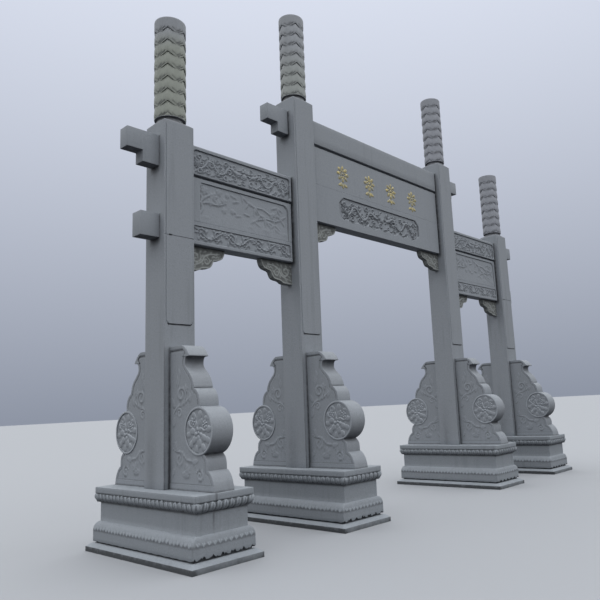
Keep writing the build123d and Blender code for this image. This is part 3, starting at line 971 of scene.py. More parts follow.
def build_crown_column():
    """A round stone of stacked bands, each with a pointed, overhanging lower edge, closed at both ends."""
    group, source, result = geometry_group("crown_column", {
        "Bands": 8, "Rows": 15, "Around": 131, "Height": CROWN_HEIGHT, "Pitch": 0.1745, "Foot": -0.018,
        "Radius": CROWN_RADIUS - 0.0005, "Flare": 0.018, "Points": 5.0, "Rise": 0.065, "Step": 0.008,
        "Turn": 0.0, "Stone": "Material"})
    labels = ("Bands", "Rows", "Height", "Pitch", "Foot", "Radius", "Flare", "Points", "Rise", "Step",
              "Turn")
    bands, rows, tall, pitch, foot, full, flare, points, peak, stride, turn = (
        Value(group, source[label]) for label in labels)

    def between(value, low, high):
        return (value > low) * (value < high)

    def pick(test, yes, no):
        return test * yes + (1.0 - test) * no

    def scratched(distance, width, depth):
        """Close to the depth within a width of a drawn line, and never over 1."""
        return math_node(group, "SUBTRACT", depth, distance.use("ABSOLUTE") / width, clamp=True)

    body_rows = bands * rows
    feeds = {"Size X": 1.0, "Size Y": 1.0, "Vertices X": source["Around"], "Vertices Y": body_rows + 6.0}
    sheet = add(group, "GeometryNodeMeshGrid", feeds)
    where = group.nodes.new("GeometryNodeInputPosition").outputs[0]
    parts = add(group, "ShaderNodeSeparateXYZ", {0: where}).outputs
    around, along = (Value(group, parts[axis]) + 0.5 for axis in (0, 1))
    row = (along * (body_rows + 5.0)).use("ROUND")

    # The first two rows close the foot and the last four the head
    step = row - 2.0
    band = (step / rows).use("FLOOR").use("MAXIMUM", 0.0).use("MINIMUM", bands - 1.0)
    inner = step - band * rows

    # A sharp point, its falling arms, and a small point between two large ones
    phase = (around * points + 0.5).use("FRACT")
    away = (phase - 0.5).use("ABSOLUTE")
    arms = (1.0 - away / 0.36).use("MAXIMUM", 0.0)
    small = (0.2 - (0.5 - away) * 2.2).use("MAXIMUM", 0.0)
    notch = (arms + small) * peak
    pointed = arms.use("MULTIPLY", 3.0, clamp=True)

    # Levels of each band's foot and head, and of the rows between them, which lie closer near the foot
    base = band * pitch + foot
    low = pick(band < 0.5, 0.004, base + notch)
    last = band > bands - 1.5
    span = pick(last, tall - 0.012, base + pitch + notch) - low
    rise = (inner - 1.0).use("MAXIMUM", 0.0)
    rest = (rise - 6.0).use("MAXIMUM", 0.0) / (rows - 7.0)
    rest = 1.0 - (1.0 - rest).use("POWER", 1.5)
    height = rise.use("MINIMUM", 6.0) * stride + rest * (span - stride * 6.0)
    level = low + height

    # How far the face falls back towards the band above, and under its own rounded lip
    share = height / span
    fall = ((share - 0.3) / 0.7).use("MAXIMUM", 0.0).use("POWER", 1.6)
    fall = fall * (pointed * 0.6 + 0.4) * (1.0 - last)
    lip = (1.0 - share / 0.14).use("MAXIMUM", 0.0) * 0.22
    under = inner < 0.5
    back = pick(under, pointed * 0.6 + 0.4, fall + lip)

    # Fine strokes beside each arm, most of them on its left
    left = 0.5 - phase
    stroke = 0.0
    for side, shift, force in ((1.0, 0.13, 1.0), (1.0, 0.27, 0.9), (-1.0, 0.20, 0.6)):
        run = left * side - shift
        line = (1.0 - run / 0.36) * peak
        mark = scratched(level - base - line, 0.0075, 1.7) * between(run, 0.0, 0.30) * force
        stroke = mark.use("MAXIMUM", stroke)
    stroke = stroke * (inner > 1.5)

    # The lowest band ends in a plain rim and carries its points as a groove with a painted highlight on
    # the lip beneath
    lowest = (band < 0.5) * between(inner, 1.5, 8.5)
    off_point = level - notch
    stroke = stroke.use("MAXIMUM", scratched(off_point + 0.013, 0.007, 1.6) * lowest)
    highlight_and_wear = scratched(off_point + 0.027, 0.007, 1.6) * lowest
    radius = full - (back * flare + stroke * 0.007)

    # Head rows: an arris, a slight dome and the middle
    over = row - (body_rows + 1.0)
    headed = over > 0.5
    dome = (over - 1.0) / 3.0
    radius = pick(headed, (1.0 - dome) * (full - 0.003), radius)
    level = pick(headed, tall - (over < 1.5) * 0.004, level)
    rim = row < 1.5
    radius = pick(rim, (row > 0.5) * (full - flare), radius)
    level = pick(rim, 0.0, level)
    angle = around * (2 * math.pi) + turn
    place = combined(group, angle.use("COSINE") * radius, angle.use("SINE") * radius, level)

    # Painted shadow under each band's lip and painted shade in its strokes, a painted highlight along its
    # lip, and the underside of the foot painted dark
    dark = (under * (pointed * 0.85 + 0.15)).use("MAXIMUM", stroke)
    bright = (between(inner, 0.5, 1.5) * pointed * 0.5).use("MAXIMUM", highlight_and_wear)
    dark = ((dark - bright) * (1.0 - headed)).use("MAXIMUM", rim)
    feeds = {"Geometry": sheet.outputs["Mesh"], "Name": "hollow", "Value": dark}
    shade = add(group, "GeometryNodeStoreNamedAttribute", feeds, data_type="FLOAT", domain="POINT")
    bend = add(group, "GeometryNodeSetPosition", {"Geometry": shade.outputs[0], "Position": place})
    seam = add(group, "GeometryNodeMergeByDistance", {0: bend.outputs[0], "Distance": 0.0003})
    whole = add(group, "GeometryNodeRealizeInstances", {0: seam.outputs[0]})
    return painted(group, whole.outputs[0], source["Stone"], result)


CROWN_COLUMN = build_crown_column()
CROWN_TURNS = (-131.1, -112.2, -104.3, -122.0)


def shoulder_mesh():
    """From the pillar's square head up to its round neck, in one smooth sweep."""
    angles = np.linspace(0, 2 * math.pi, 97)
    square = (HALF_PILLAR - 0.0005) / np.maximum(np.abs(np.cos(angles)), np.abs(np.sin(angles)))
    square = np.minimum(square, HALF_PILLAR * 1.385)
    rings = []
    # Painted shade over the shoulder, and painted shadow on the neck under the crown's overhang
    for t in np.linspace(0.0, 1.0, 12):
        share = t * t * (3.0 - 2.0 * t)
        rings.append((square * (1 - share) + NECK_RADIUS * share, SHOULDER_TALL * t,
                      0.7 * math.sin(math.pi * t) + 0.6 * t))
    for back, level in ((0.004, SHOULDER_TALL + 0.001), (0.008, CROWN_GAP + 0.01)):
        rings.append((NECK_RADIUS - back + 0 * angles, level, 1.0))
    r, level, dark = (np.array(part) for part in zip(*rings))
    stone = Stone()
    capped(stone, r * np.cos(angles), r * np.sin(angles), level[:, None] + 0 * r, dark[:, None] + 0 * r)
    return stone


def make_crowns():
    """The round banded stones on the pillars, each turned its own way."""
    shoulder = shoulder_mesh()
    materials = (CROWN, CROWN_GREY, CROWN_PLAIN, CROWN_PLAIN)
    for number, (x, turn, stone) in enumerate(zip(STATIONS, CROWN_TURNS, materials), start=1):
        top = OUTER_TOP if number in OUTER_NUMBERS else INNER_TOP
        column = baked(CROWN_COLUMN, {"Turn": math.radians(turn), "Stone": stone}, "column")
        work = bmesh.new()
        work.from_mesh(column)
        bmesh.ops.recalc_face_normals(work, faces=work.faces)
        work.to_mesh(column)
        work.free()
        parts = [moved(column, 0, 0, top + CROWN_GAP), moved(shoulder.mesh("shoulder"), 0, 0, top)]
        mesh = moved(joined("crown", parts), x)
        place_piece(f"banded_crown_{number}", mesh, stone, f"crown_{number}", ROUND_EDGE)


make_crowns()


# Drum stones

DRUM_HALF = 0.130
DRUM_OUT = 0.572
DRUM_UP = 0.652
DRUM_MIDDLE = (0.0, -HALF_PILLAR - DRUM_OUT, PLINTH_TOP + DRUM_UP)
DRUM_RADIUS = 0.270
DISC_RADIUS = 0.267
DISC_RAISE = 0.0115
DISH_RADIUS = 0.243
DRUM_TOP = 1.64
DRUM_REACH = 0.86
CAP_NOSE = 1.506
FRONT_SHADE = ((0.0, 1.0), (0.012, 1.0), (0.024, 0.1), (0.19, 0.0), (0.218, 0.1), (0.226, 0.5),
               (0.26, 0.1), (0.34, 0.15), (0.394, 0.95), (0.43, 0.7), (0.50, 0.32), (0.58, 0.05),
               (0.90, 0.0), (0.922, 0.2), (0.94, 0.0), (1.11, 0.0), (1.134, 0.55), (1.16, 0.1),
               (1.30, 0.12), (1.42, 0.4), (1.49, 0.95), (1.505, 1.0), (1.5065, 0.0), (DRUM_TOP, 0.0))


def drum_outline():
    """Height above the plinth and reach from the pillar's face, up the front of a drum stone."""
    foot = [(0.0, 0.856), (0.03, 0.852), (0.07, 0.845), (0.11, 0.834), (0.145, 0.817), (0.18, 0.795),
            (0.205, 0.768), (0.219, 0.752), (0.2235, 0.732), (0.25, 0.731), (0.282, 0.7305),
            (0.314, 0.726), (0.34, 0.718), (0.362, 0.705), (0.383, 0.684), (0.394, 0.668)]
    low, high = math.radians(-69), math.acos((0.594 - DRUM_OUT) / DRUM_RADIUS)
    drum = [(DRUM_UP + DRUM_RADIUS * math.sin(t), DRUM_OUT + DRUM_RADIUS * math.cos(t))
            for t in np.linspace(low, high, 28)]
    lobe = [(0.926, 0.5945), (0.97, 0.594), (1.01, 0.588), (1.05, 0.575), (1.085, 0.554), (1.11, 0.529),
            (1.126, 0.502), (1.132, 0.483), (1.136, 0.482), (1.142, 0.488), (1.17, 0.480), (1.20, 0.470),
            (1.25, 0.447), (1.285, 0.421), (1.32, 0.386), (1.35, 0.352), (1.38, 0.323), (1.41, 0.307),
            (1.44, 0.306), (1.47, 0.311), (1.492, 0.321), (1.501, 0.334), (1.5045, 0.352)]
    cap = [(CAP_NOSE, 0.394), (1.510, 0.398), (1.518, 0.397), (1.54, 0.383), (1.563, 0.365),
           (1.585, 0.345), (1.606, 0.322), (1.624, 0.297), (1.635, 0.274), (DRUM_TOP - 0.001, 0.258),
           (DRUM_TOP, 0.250)]
    return np.array(foot + drum + lobe + cap)


def edge_distance(out, up, line):
    """How far each place on a side face lies from a line of (height, reach) points."""
    best = np.full(out.shape, np.inf)
    for (v0, u0), (v1, u1) in zip(line[:-1], line[1:]):
        du, dv = u1 - u0, v1 - v0
        t = np.clip(((out - u0) * du + (up - v0) * dv) / max(du * du + dv * dv, 1e-12), 0.0, 1.0)
        best = np.minimum(best, np.hypot(out - u0 - t * du, up - v0 - t * dv))
    return best


def flower_in_dish():
    """A full-blown flower and two buds, drawn on a square field that fills the disc."""
    line = np.linspace(-0.25, 0.25, 126)
    art = Relief(line, line)
    flat = 0.78
    art.ring(0.0, -0.012, 0.192, 10, 9, 0.056, flat, (0.92, 0.80))
    art.ring(0.0, -0.016, 0.118, 7, 20, 0.056, flat, (1.0, 0.86))
    art.ring(0.0, -0.020, 0.052, 5, 50, 0.031, flat, (0.95,))
    art.dome(0.0, -0.020, 0.020, 0.020, 0, 1.0)
    for x, y, turn in ((0.118, 0.075, 20), (-0.110, 0.105, 50)):
        rows, columns = art.window(x - 0.062, x + 0.062, y - 0.062, y + 0.062)
        near = np.hypot(art.u[columns][None, :] - x, art.v[rows][:, None] - y) < 0.058
        art.h[rows, columns] = np.where(near, 0.0, art.h[rows, columns])
        art.ring(x, y, 0.034, 6, turn, 0.019, flat, (0.95,))
        art.dome(x, y, 0.015, 0.015, 0, 1.0)
    off = 0.019 * np.sqrt(art.h) - 0.009
    # Painted shade in the flower's hollows and painted highlights on its edges
    return line, off, np.clip(HIGHLIGHT_AND_WEAR_GAIN * shade_dirt_and_highlight(off, 0.009, 0.5), -1.0, 1.0)


def disc_mesh():
    """The boss on a drum's side, facing +X: a raised rim about a dish with its flower."""
    line, off, darkening = flower_in_dish()
    angles = np.linspace(0, 2 * math.pi, 89)
    outer = [DISC_RADIUS, DISC_RADIUS, DISC_RADIUS - 0.002, DISC_RADIUS - 0.006]
    outer += [DISH_RADIUS + 0.008, DISH_RADIUS + 0.002, DISH_RADIUS]
    radii = np.concatenate([outer, np.linspace(DISH_RADIUS - 0.004, 0.006, 22), [0.0]])
    rim = DISC_RAISE + np.array([-0.0315, -0.003, -0.001, 0.0, 0.0, -0.001, -DISC_RAISE])[:, None]
    r = radii[:, None] + 0 * angles
    y, z = r * np.cos(angles), r * np.sin(angles)
    row, column = ((place - line[0]) / (line[1] - line[0]) for place in (z, y))
    lift, dark = sampled(off, row, column), sampled(darkening, row, column)
    lift[:len(rim)] = rim
    # Painted highlights on the raised rim, painted shade down its inner wall and round the dish's edge
    dark[:len(rim)] = np.array([0.0, 0.0, -0.3, -0.5, -0.5, -0.2, 0.9])[:, None]
    dark[len(rim)] = np.maximum(dark[len(rim)], 0.5)
    stone = Stone()
    stone.skin(DRUM_HALF + lift, y, z, dark)
    stone.skin(DRUM_HALF - 0.02 + 0 * r[:2], np.vstack([y[:1], 0 * y[:1]]), np.vstack([z[:1], 0 * z[:1]]))
    return stone


def drum_carving(out, up, edge):
    """Offsets, painted shade with some dirt, and painted highlights on a side face: cap strip, border,
    foot band and soft leaf scrolls.
    """
    art = Relief(np.linspace(0.0, DRUM_REACH, 130), np.linspace(0.0, DRUM_TOP, 240))
    art.ridge(curl(0.23, 1.07, 0.10, 0.02, -70, 520), 0.017, 0.9)
    art.ridge(smooth_path([(0.07, 0.86), (0.16, 0.93), (0.28, 0.965), (0.38, 1.03), (0.39, 1.10)]),
              0.015, 0.9)
    art.ridge(curl(0.19, 0.86, 0.06, 0.015, 200, -480), 0.013, 0.8)
    for x, y, turn, size in ((0.39, 0.98, 60, 0.12), (0.10, 0.92, 120, 0.14), (0.15, 1.16, 80, 0.15),
                             (0.07, 0.70, 80, 0.14), (0.09, 0.54, -60, 0.14), (0.30, 0.30, -50, 0.15),
                             (0.25, 0.19, -15, 0.15), (0.44, 0.31, 10, 0.13), (0.09, 0.24, 250, 0.1),
                             (0.2, 1.27, 100, 0.11)):
        art.leaf(x, y, turn, size, size * 0.24, 0.85)
    art.blossom(0.32, 1.13, 0.05, 18, 0.8)
    art.ridge(curl(0.19, 0.34, 0.085, 0.018, 110, -500), 0.016, 0.9)
    art.ridge(smooth_path([(0.07, 0.46), (0.13, 0.43), (0.24, 0.42), (0.34, 0.34), (0.45, 0.32),
                           (0.51, 0.26)]), 0.015, 0.9)
    art.ridge(curl(0.59, 0.17, 0.07, 0.016, 150, -480), 0.015, 0.9)
    art.blossom(0.36, 0.22, 0.055, 40, 0.85)
    row, column = up / art.v[-1] * (len(art.v) - 1), out / art.u[-1] * (len(art.u) - 1)
    clear = np.hypot(out - DRUM_OUT, up - DRUM_UP) > DISC_RADIUS + 0.012
    kept = clear * np.clip((edge - 0.055) / 0.01, 0.0, 1.0) * np.clip((up - 0.085) / 0.01, 0.0, 1.0)
    off = 0.0045 * sampled(art.h, row, column) * kept
    dark = sampled(shade_dirt_and_highlight(0.0075 * art.h, 0.009, 0.8), row, column) * kept
    crown = (up > CAP_NOSE - 0.004) | (edge < 0.0)
    strip = crown & (edge < 0.043)
    off = np.where(strip, 0.006, off)
    line = crown & (edge >= 0.043) & (edge < 0.056)
    border = ~crown & (edge > 0.036) & (edge < 0.049) & (up > 0.07) & clear
    off = np.where(line, -0.007, np.where(border, -0.006, off))
    # Painted shadow in the line under the cap strip, painted shade in the border groove
    dark = np.where(line, 1.0, np.where(border, 0.55, dark))
    band = up < 0.066
    off = np.where(band, 0.007, off)
    # Painted shade just above the foot band
    dark = np.where((up >= 0.066) & (up < 0.078), 0.5, dark)
    # Painted shade near the pillar, strongest low down, a black line at the foot, and black where the face
    # meets the pillar
    corner = np.interp(out, (0.004, 0.045), (0.7, 0.0)) * np.interp(up, (0.0, 0.45, 0.9), (1.0, 0.7, 0.2))
    corner = np.maximum(corner, 1.2 * (up < 0.013))
    dark = np.where(corner > 0.02, np.maximum(dark, np.minimum(corner, 1.0)), dark)
    dark = np.where(out < 0.004, 1.0, dark)
    return off, dark


def drum_stone_mesh():
    """A drum stone standing in front of a pillar, facing -Y, with both its side faces carved."""
    line = drum_outline()
    heights = spaced([*line[:, 0], *np.linspace(0, DRUM_TOP, 60), 0.0655, 0.067])
    reach = np.interp(heights, line[:, 0], line[:, 1])
    arris = 0.008
    share = np.concatenate([np.linspace(0.0, 0.9, 36), np.linspace(0.912, 1.0, 8)])
    out = share[None, :] * (reach - arris)[:, None]
    up = np.broadcast_to(heights[:, None], out.shape)
    contour = np.vstack([line, [(DRUM_TOP, 0.0)]])
    edge = edge_distance(out, up, contour)
    carve, darkening = drum_carving(out, up, edge)
    carve = carve * np.clip((reach[:, None] - arris - out) / 0.006, 0.35, 1.0)
    z = PLINTH_TOP + heights[:, None]
    y = -(HALF_PILLAR + out)
    front = -(HALF_PILLAR + reach[:, None])
    shade = np.interp(heights, *np.transpose(FRONT_SHADE))[:, None]
    bend_x = np.array([0.0, 0.0012, 0.0042, arris])
    bend_y = np.array([arris, 0.0035, 0.0010, 0.0])
    fade = darkening[:, -1:] + (shade - darkening[:, -1:]) * np.linspace(0.0, 1.0, 4)
    stone = Stone()
    for side in (-1, 1):
        stone.skin(side * (DRUM_HALF + carve), y, z, darkening)
        stone.skin(side * (DRUM_HALF + carve[:, -1:] - bend_x), front + bend_y, z, fade)
    stone.skin(np.linspace(-1, 1, 5) * (DRUM_HALF + carve[:, -1:] - arris), front, z, shade)

    # The bed, the top and the back, the back painted black as the shade against the pillar
    for row in (0, -1):
        wide = DRUM_HALF + carve[row]
        stone.skin(np.stack([-wide, wide]), y[row], z[row], darkening[row])
        tip = DRUM_HALF + carve[row, -1] - bend_x
        stone.skin(np.stack([-tip, tip]), front[row] + bend_y, z[row], shade[row])
    back = DRUM_HALF + carve[:, 0]
    stone.skin(np.stack([-back, back]), -HALF_PILLAR, z[:, 0], 1.0)
    return stone


def make_drum_stones():
    """The drum stones before and behind each pillar, with a boss on both sides."""
    stone = drum_stone_mesh()
    disc = disc_mesh()
    for number, x in enumerate(STATIONS, start=1):
        for side, turn in (("front", 0.0), ("back", math.pi)):
            parts = [stone.mesh("drum_stone")]
            for facing in (math.pi, 0.0):
                parts.append(moved(disc.mesh("boss"), *DRUM_MIDDLE, facing))
            mesh = moved(joined("drum_stone", parts), x, 0, 0, turn)
            place_piece(f"carved_drum_{side}_{number}", mesh, DRESSED, f"drum_stone_{side}_{number}")


make_drum_stones()


# Beams and panels of the bays

FIELD_WALL = 0.006


def wall_and_floor(inside, depth, art, lift):
    """A field sunk to a depth within a steep wall, with carving on its floor, from how far each place lies
    inside its edge."""
    return np.clip(inside / FIELD_WALL, 0.0, 1.0) * (lift * art.h - depth)


def slot_under_beam(off, v, height, tall):
    """Cuts back the top strip of a stone, so that the beam above throws a deep shadow."""
    off[v > height - tall] = -SHADOW_DEPTH
    return off


def beast(art, place, size, way, height=1.0):
    """A coiling long-bodied beast with crest, mane, legs and claws, in a strip about 2.2 sizes long."""
    px, py = place

    def at(points):
        return [(px + way * size * p, py + size * q) for p, q in points]

    def spine(x, y, turn, length, width, tall=0.85):
        (x, y), = at([(x, y)])
        art.leaf(x, y, turn if way > 0 else 180 - turn, size * length, size * width, tall, 0.0)

    body = smooth_path([(-1.05, 0.20), (-0.98, -0.06), (-0.80, -0.18), (-0.60, -0.02), (-0.47, 0.17),
                        (-0.27, 0.15), (-0.10, -0.08), (0.10, -0.19), (0.30, -0.08), (0.42, 0.12),
                        (0.58, 0.17), (0.72, 0.08)])
    art.ridge(at(body), size * 0.048, height, (0.15, 0.9))
    for k in range(4, len(body) - 4, 3):
        (ax, ay), (bx, by) = body[k], body[k + 2]
        angle = math.degrees(math.atan2(by - ay, bx - ax))
        for side in (-1, 1):
            x = ax - side * 0.055 * math.sin(math.radians(angle))
            y = ay + side * 0.055 * math.cos(math.radians(angle))
            spine(x, y, angle + side * 122, 0.075, 0.019, 0.8 * height)
    art.dome(px + way * size * 0.80, py + size * 0.06, size * 0.115, size * 0.075, -14 * way, height)
    art.dome(px + way * size * 0.92, py + size * 0.02, size * 0.07, size * 0.04, -10 * way, height)
    for x, y, turn, length in ((0.74, 0.12, 150, 0.20), (0.76, 0.10, 172, 0.20), (0.72, 0.02, 195, 0.19),
                               (0.74, -0.04, 220, 0.18), (0.80, 0.13, 118, 0.15),
                               (0.94, -0.02, -40, 0.12), (0.97, 0.03, 12, 0.16)):
        spine(x, y, turn, length, 0.026, 0.9 * height)
    for x, y, turn in ((-0.74, -0.12, 250), (-0.36, 0.17, 75), (0.02, -0.14, 262), (0.36, 0.05, 15),
                       (0.50, 0.15, 95)):
        c, s = math.cos(math.radians(turn)), math.sin(math.radians(turn))
        knee = (x + 0.06 * c, y + 0.06 * s)
        foot = (x + 0.13 * c + 0.03, y + 0.10 * s)
        art.ridge(at([(x, y), knee, foot]), size * 0.028, height)
        for spread in (-48, -14, 20):
            spine(*foot, turn + spread, 0.085, 0.018, 0.9 * height)
    for turn in (60, 90, 120, 150):
        spine(-1.05, 0.18, turn, 0.13, 0.022, 0.8 * height)


def cloud_bank(art, x0, x1, y0, y1, size, seed, height=0.75):
    """Small curled clouds with slanting tails that fill the ground between larger figures."""
    rng = np.random.default_rng(seed)
    columns = max(1, int(round((x1 - x0) / (size * 1.35))))
    lines = max(1, int(round((y1 - y0) / (size * 0.95))))
    for i in range(columns):
        for j in range(lines):
            x = x0 + (i + 0.5 + 0.32 * (j % 2) - 0.16) * (x1 - x0) / columns
            x += rng.uniform(-0.12, 0.12) * size
            y = y0 + (j + 0.5) * (y1 - y0) / lines + rng.uniform(-0.12, 0.12) * size
            way = 1 if rng.random() < 0.5 else -1
            start = rng.uniform(0, 360)
            reach = size * rng.uniform(0.30, 0.42)
            rows, cells = art.window(x - reach, x + reach, y - reach, y + reach)
            if art.h[rows, cells].size and art.h[rows, cells].mean() > 0.42:
                continue
            art.ridge(curl(x, y, reach, reach * 0.2, start, way * 430, 18), reach * 0.26, height)
            tail = [(x + way * reach, y - 0.3 * reach), (x + way * 1.7 * reach, y - 0.75 * reach),
                    (x + way * 2.5 * reach, y - 0.85 * reach)]
            art.ridge(tail, reach * 0.2, height * 0.9, (0.6, 0.1))


def draw_top_beam(u, v, length, height):
    """Two beasts among clouds about a pearl, in a long field sunk under its upper edge."""
    art = Relief(u, v)
    mid_x, mid_y = 0.5 * length, 0.5 * height - 0.028
    for way in (-1, 1):
        beast(art, (mid_x + way * 0.45, mid_y), 0.36, -way)
    art.dome(mid_x, mid_y, 0.040, 0.040, 0, 1.0)
    for k in range(8):
        art.leaf(mid_x + 0.05 * math.cos(k), mid_y + 0.045, 30 + k * 17, 0.075, 0.013, 0.8, 0.0)
    cloud_bank(art, 0.06, length - 0.06, 0.035, height - 0.085, 0.115, 4)
    inside = box_depth(u[None, :], v[:, None], 0.030, length - 0.030, 0.018, height - 0.052, 0.05)
    return wall_and_floor(inside, 0.020, art, 0.015)


def draw_panel(u, v, length, height):
    """A blossoming branch, a rock and bamboo, in very shallow relief."""
    art = Relief(u, v)
    for points, width in (([(0.04, 0.10), (0.10, 0.30), (0.09, 0.48), (0.15, 0.62), (0.22, 0.70)], 0.017),
                          ([(0.09, 0.42), (0.16, 0.48), (0.23, 0.46), (0.30, 0.52)], 0.012),
                          ([(0.10, 0.55), (0.07, 0.68), (0.10, 0.80)], 0.010),
                          ([(0.46, 0.86), (0.53, 0.70), (0.61, 0.62), (0.66, 0.48), (0.74, 0.36)], 0.011),
                          ([(0.60, 0.62), (0.68, 0.64), (0.76, 0.56), (0.84, 0.54)], 0.010),
                          ([(0.58, 0.30), (0.66, 0.38), (0.72, 0.42), (0.82, 0.42), (0.90, 0.50)], 0.010),
                          ([(0.80, 0.12), (0.81, 0.40), (0.85, 0.78)], 0.010)):
        art.ridge(smooth_path([(x * length, y * height) for x, y in points]), width, 0.9)
    for x, y, r in ((0.12, 0.72, 0.060), (0.20, 0.64, 0.066), (0.25, 0.76, 0.050), (0.17, 0.50, 0.052),
                    (0.24, 0.52, 0.046), (0.30, 0.58, 0.048), (0.33, 0.74, 0.036), (0.38, 0.40, 0.040),
                    (0.30, 0.38, 0.042), (0.09, 0.86, 0.036)):
        art.blossom(x * length, y * height, r, 360 * x, 0.95)
    for x, y, turn in ((0.36, 0.78, -20), (0.38, 0.62, 15), (0.37, 0.46, -35), (0.40, 0.32, 10),
                       (0.47, 0.84, -75), (0.53, 0.72, -20), (0.54, 0.70, -120), (0.60, 0.62, -60),
                       (0.60, 0.62, -95), (0.66, 0.50, -20), (0.66, 0.48, -130), (0.70, 0.42, -48),
                       (0.70, 0.42, -75), (0.73, 0.38, -55), (0.73, 0.38, -20), (0.76, 0.56, -45),
                       (0.76, 0.56, 15), (0.82, 0.60, -140), (0.82, 0.60, -30), (0.84, 0.76, 200),
                       (0.84, 0.76, -60), (0.84, 0.76, -20), (0.88, 0.50, -50), (0.88, 0.50, 30),
                       (0.62, 0.34, -150), (0.60, 0.30, -30), (0.81, 0.34, -35), (0.81, 0.34, -140),
                       (0.81, 0.24, -30), (0.55, 0.40, 170)):
        art.leaf(x * length, y * height, turn, 0.13, 0.015, 0.85, 0.3)
    for x, s in ((0.05, 0.055), (0.13, 0.04), (0.55, 0.04), (0.72, 0.05), (0.92, 0.05)):
        art.dome(x * length, 0.13 * height, s * 1.5, s * 0.7, 0, 0.7)
    art.h *= np.clip((v[:, None] - 0.045) / 0.05, 0, 1)
    left, right = (box_depth(u[None, :], v[:, None], start, length - 0.055, -0.2, height - 0.082, corner)
                   for start, corner in ((0.140, 0.02), (0.075, 0.12)))
    inside = np.where(u[None, :] < 0.5 * length, left, right)
    off = wall_and_floor(inside, 0.014, art, 0.0085)
    off *= np.clip(v[:, None] / 0.30 + 0.25, 0.0, 1.0)
    return slot_under_beam(off, v, height, 0.034)


def draw_scroll_beam(u, v, length, height):
    """A running vine whose waves each close on a spiral, above a plain strip."""
    art = Relief(u, v)
    waves = 7
    left, right = 0.05, length - 0.05
    pitch = (right - left) / waves
    mid = 0.5 * height + 0.004
    swing = 0.062
    line = [(left + pitch * waves * t, mid + swing * math.cos(math.pi * waves * t))
            for t in np.linspace(0, 1, 110)]
    art.ridge(line, 0.0095, 1.0, (0.6, 0.6))
    for k in range(waves):
        x = left + pitch * (k + 0.5)
        side = 1 if k % 2 == 0 else -1
        y = mid - side * 0.006
        art.ridge(curl(x, y, 0.076, 0.012, 90 * side + 60 * side, side * -600, 34), 0.0090, 0.95)
        for turn in (20, 75, 150, 215, 290):
            a = side * turn
            c, s = math.cos(math.radians(a)), math.sin(math.radians(a))
            art.leaf(x + 0.058 * c, y + 0.058 * s, a + 44 * side, 0.066, 0.016, 0.85, 0.3)
        for turn, reach in ((-80, 0.075), (-130, 0.06), (-30, 0.06)):
            art.leaf(left + pitch * (k + 1), mid - side * 0.028, side * turn, reach, 0.017, 0.8, 0.3)
    inside = box_depth(u[None, :], v[:, None], 0.030, length - 0.030, 0.042, height - 0.052, 0.04)
    return wall_and_floor(inside, 0.0135, art, 0.013)


def draw_lintel(u, v, length, height):
    """Two beasts among clouds in a wide cartouche with cut upper corners and a waved lower edge."""
    art = Relief(u, v)
    mid_x, mid_y = 0.5 * length - 0.02, 0.5 * height + 0.018
    for way in (-1, 1):
        beast(art, (mid_x + way * 0.56, mid_y), 0.46, -way)
    art.dome(mid_x, mid_y + 0.01, 0.052, 0.052, 0, 1.0)
    for k in range(10):
        art.leaf(mid_x, mid_y + 0.03, 10 + k * 17.5, 0.12, 0.016, 0.75, 0.0)
    cloud_bank(art, mid_x - 1.08, mid_x + 1.08, mid_y - 0.17, mid_y + 0.17, 0.14, 9)
    x0, x1 = mid_x - 1.13, mid_x + 1.13
    y0, y1 = mid_y - 0.190, mid_y + 0.208
    wave = 0.022 * np.sin((u[None, :] - x0) * 2 * math.pi / 0.283 + 0.8)
    low = v[:, None] < mid_y
    inside = box_depth(u[None, :], v[:, None] + wave * low, x0, x1, y0, y1, 0.11, True)
    return wall_and_floor(inside, 0.022, art, 0.022)


def draw_plaque(u, v, length, height):
    """A plain field cut back under the beam above."""
    return slot_under_beam(np.zeros((len(v), len(u))), v, height, 0.042)


def plain(u, v, length, height):
    """A face with no carving."""
    return np.zeros((len(v), len(u)))


def head_mesh(x_face, way, levels, half, long_end, short_end=None, step=0.0, collar=0.0):
    """The end of a beam where it comes out of the pillar, stepped if short_end is given. With a collar it
    starts clear of the pillar, on a thinner root."""
    low, high = levels
    start = x_face + way * 0.2
    pillar = x_face + way * 2 * HALF_PILLAR
    begin = pillar + way * collar if collar else start
    far = pillar + way * long_end
    outline = [(begin, low), (far, low), (far, high), (begin, high)]
    if short_end is not None:
        near = pillar + way * short_end
        outline[1:2] = [(near, low), (near, low + step), (far, low + step)]
    head = prism("head", outline, half, 0.007)
    level = np.empty(3 * len(head.vertices))
    head.vertices.foreach_get("co", level)
    # Painted shade on the head's undersides
    under = np.minimum(np.abs(level[2::3] - low), np.abs(level[2::3] - low - step)) < 0.0006
    head.attributes["hollow"].data.foreach_set("value", (0.9 * under).astype(np.float32))
    if not collar:
        return head
    thin = 0.016
    stop = begin + way * 0.03
    root = [(start, low + thin), (stop, low + thin), (stop, high - thin), (start, high - thin)]
    return joined("head", [head, prism("root", root, half - thin)])


def tenons(places, half, levels):
    """The hidden ends that carry a beam into its pillars across the narrow open joints, painted black as
    the shade in those joints.
    """
    inset, reach = 0.045, 0.06
    low, high = levels[0] + inset, levels[1] - inset
    return [prism("tenon", [(x - reach, low), (x + reach, low), (x + reach, high), (x - reach, high)],
                  half - inset, dark=1.0) for x in places]


# How strongly painted shade with grime darkens the carving in the side bays and in the centre bay
SIDE_SHADE_AND_GRIME = 0.58
CENTRE_SHADE_AND_GRIME = 0.78


def bay_stone(span, levels, half, draw, step, arris, crest, rows, shade_and_grime):
    """A carved stone between two pillar faces, with its tenons, as a list of meshes."""
    low, high = levels
    stone = Stone()
    box = ((span[0] + OPEN_JOINT, -half, low), (span[1] - OPEN_JOINT, half, high))
    carved_block(stone, box, draw, step, arris, crest, rows, shade_and_grime)
    return [stone.mesh("beam"), *tenons(span, half, levels)]


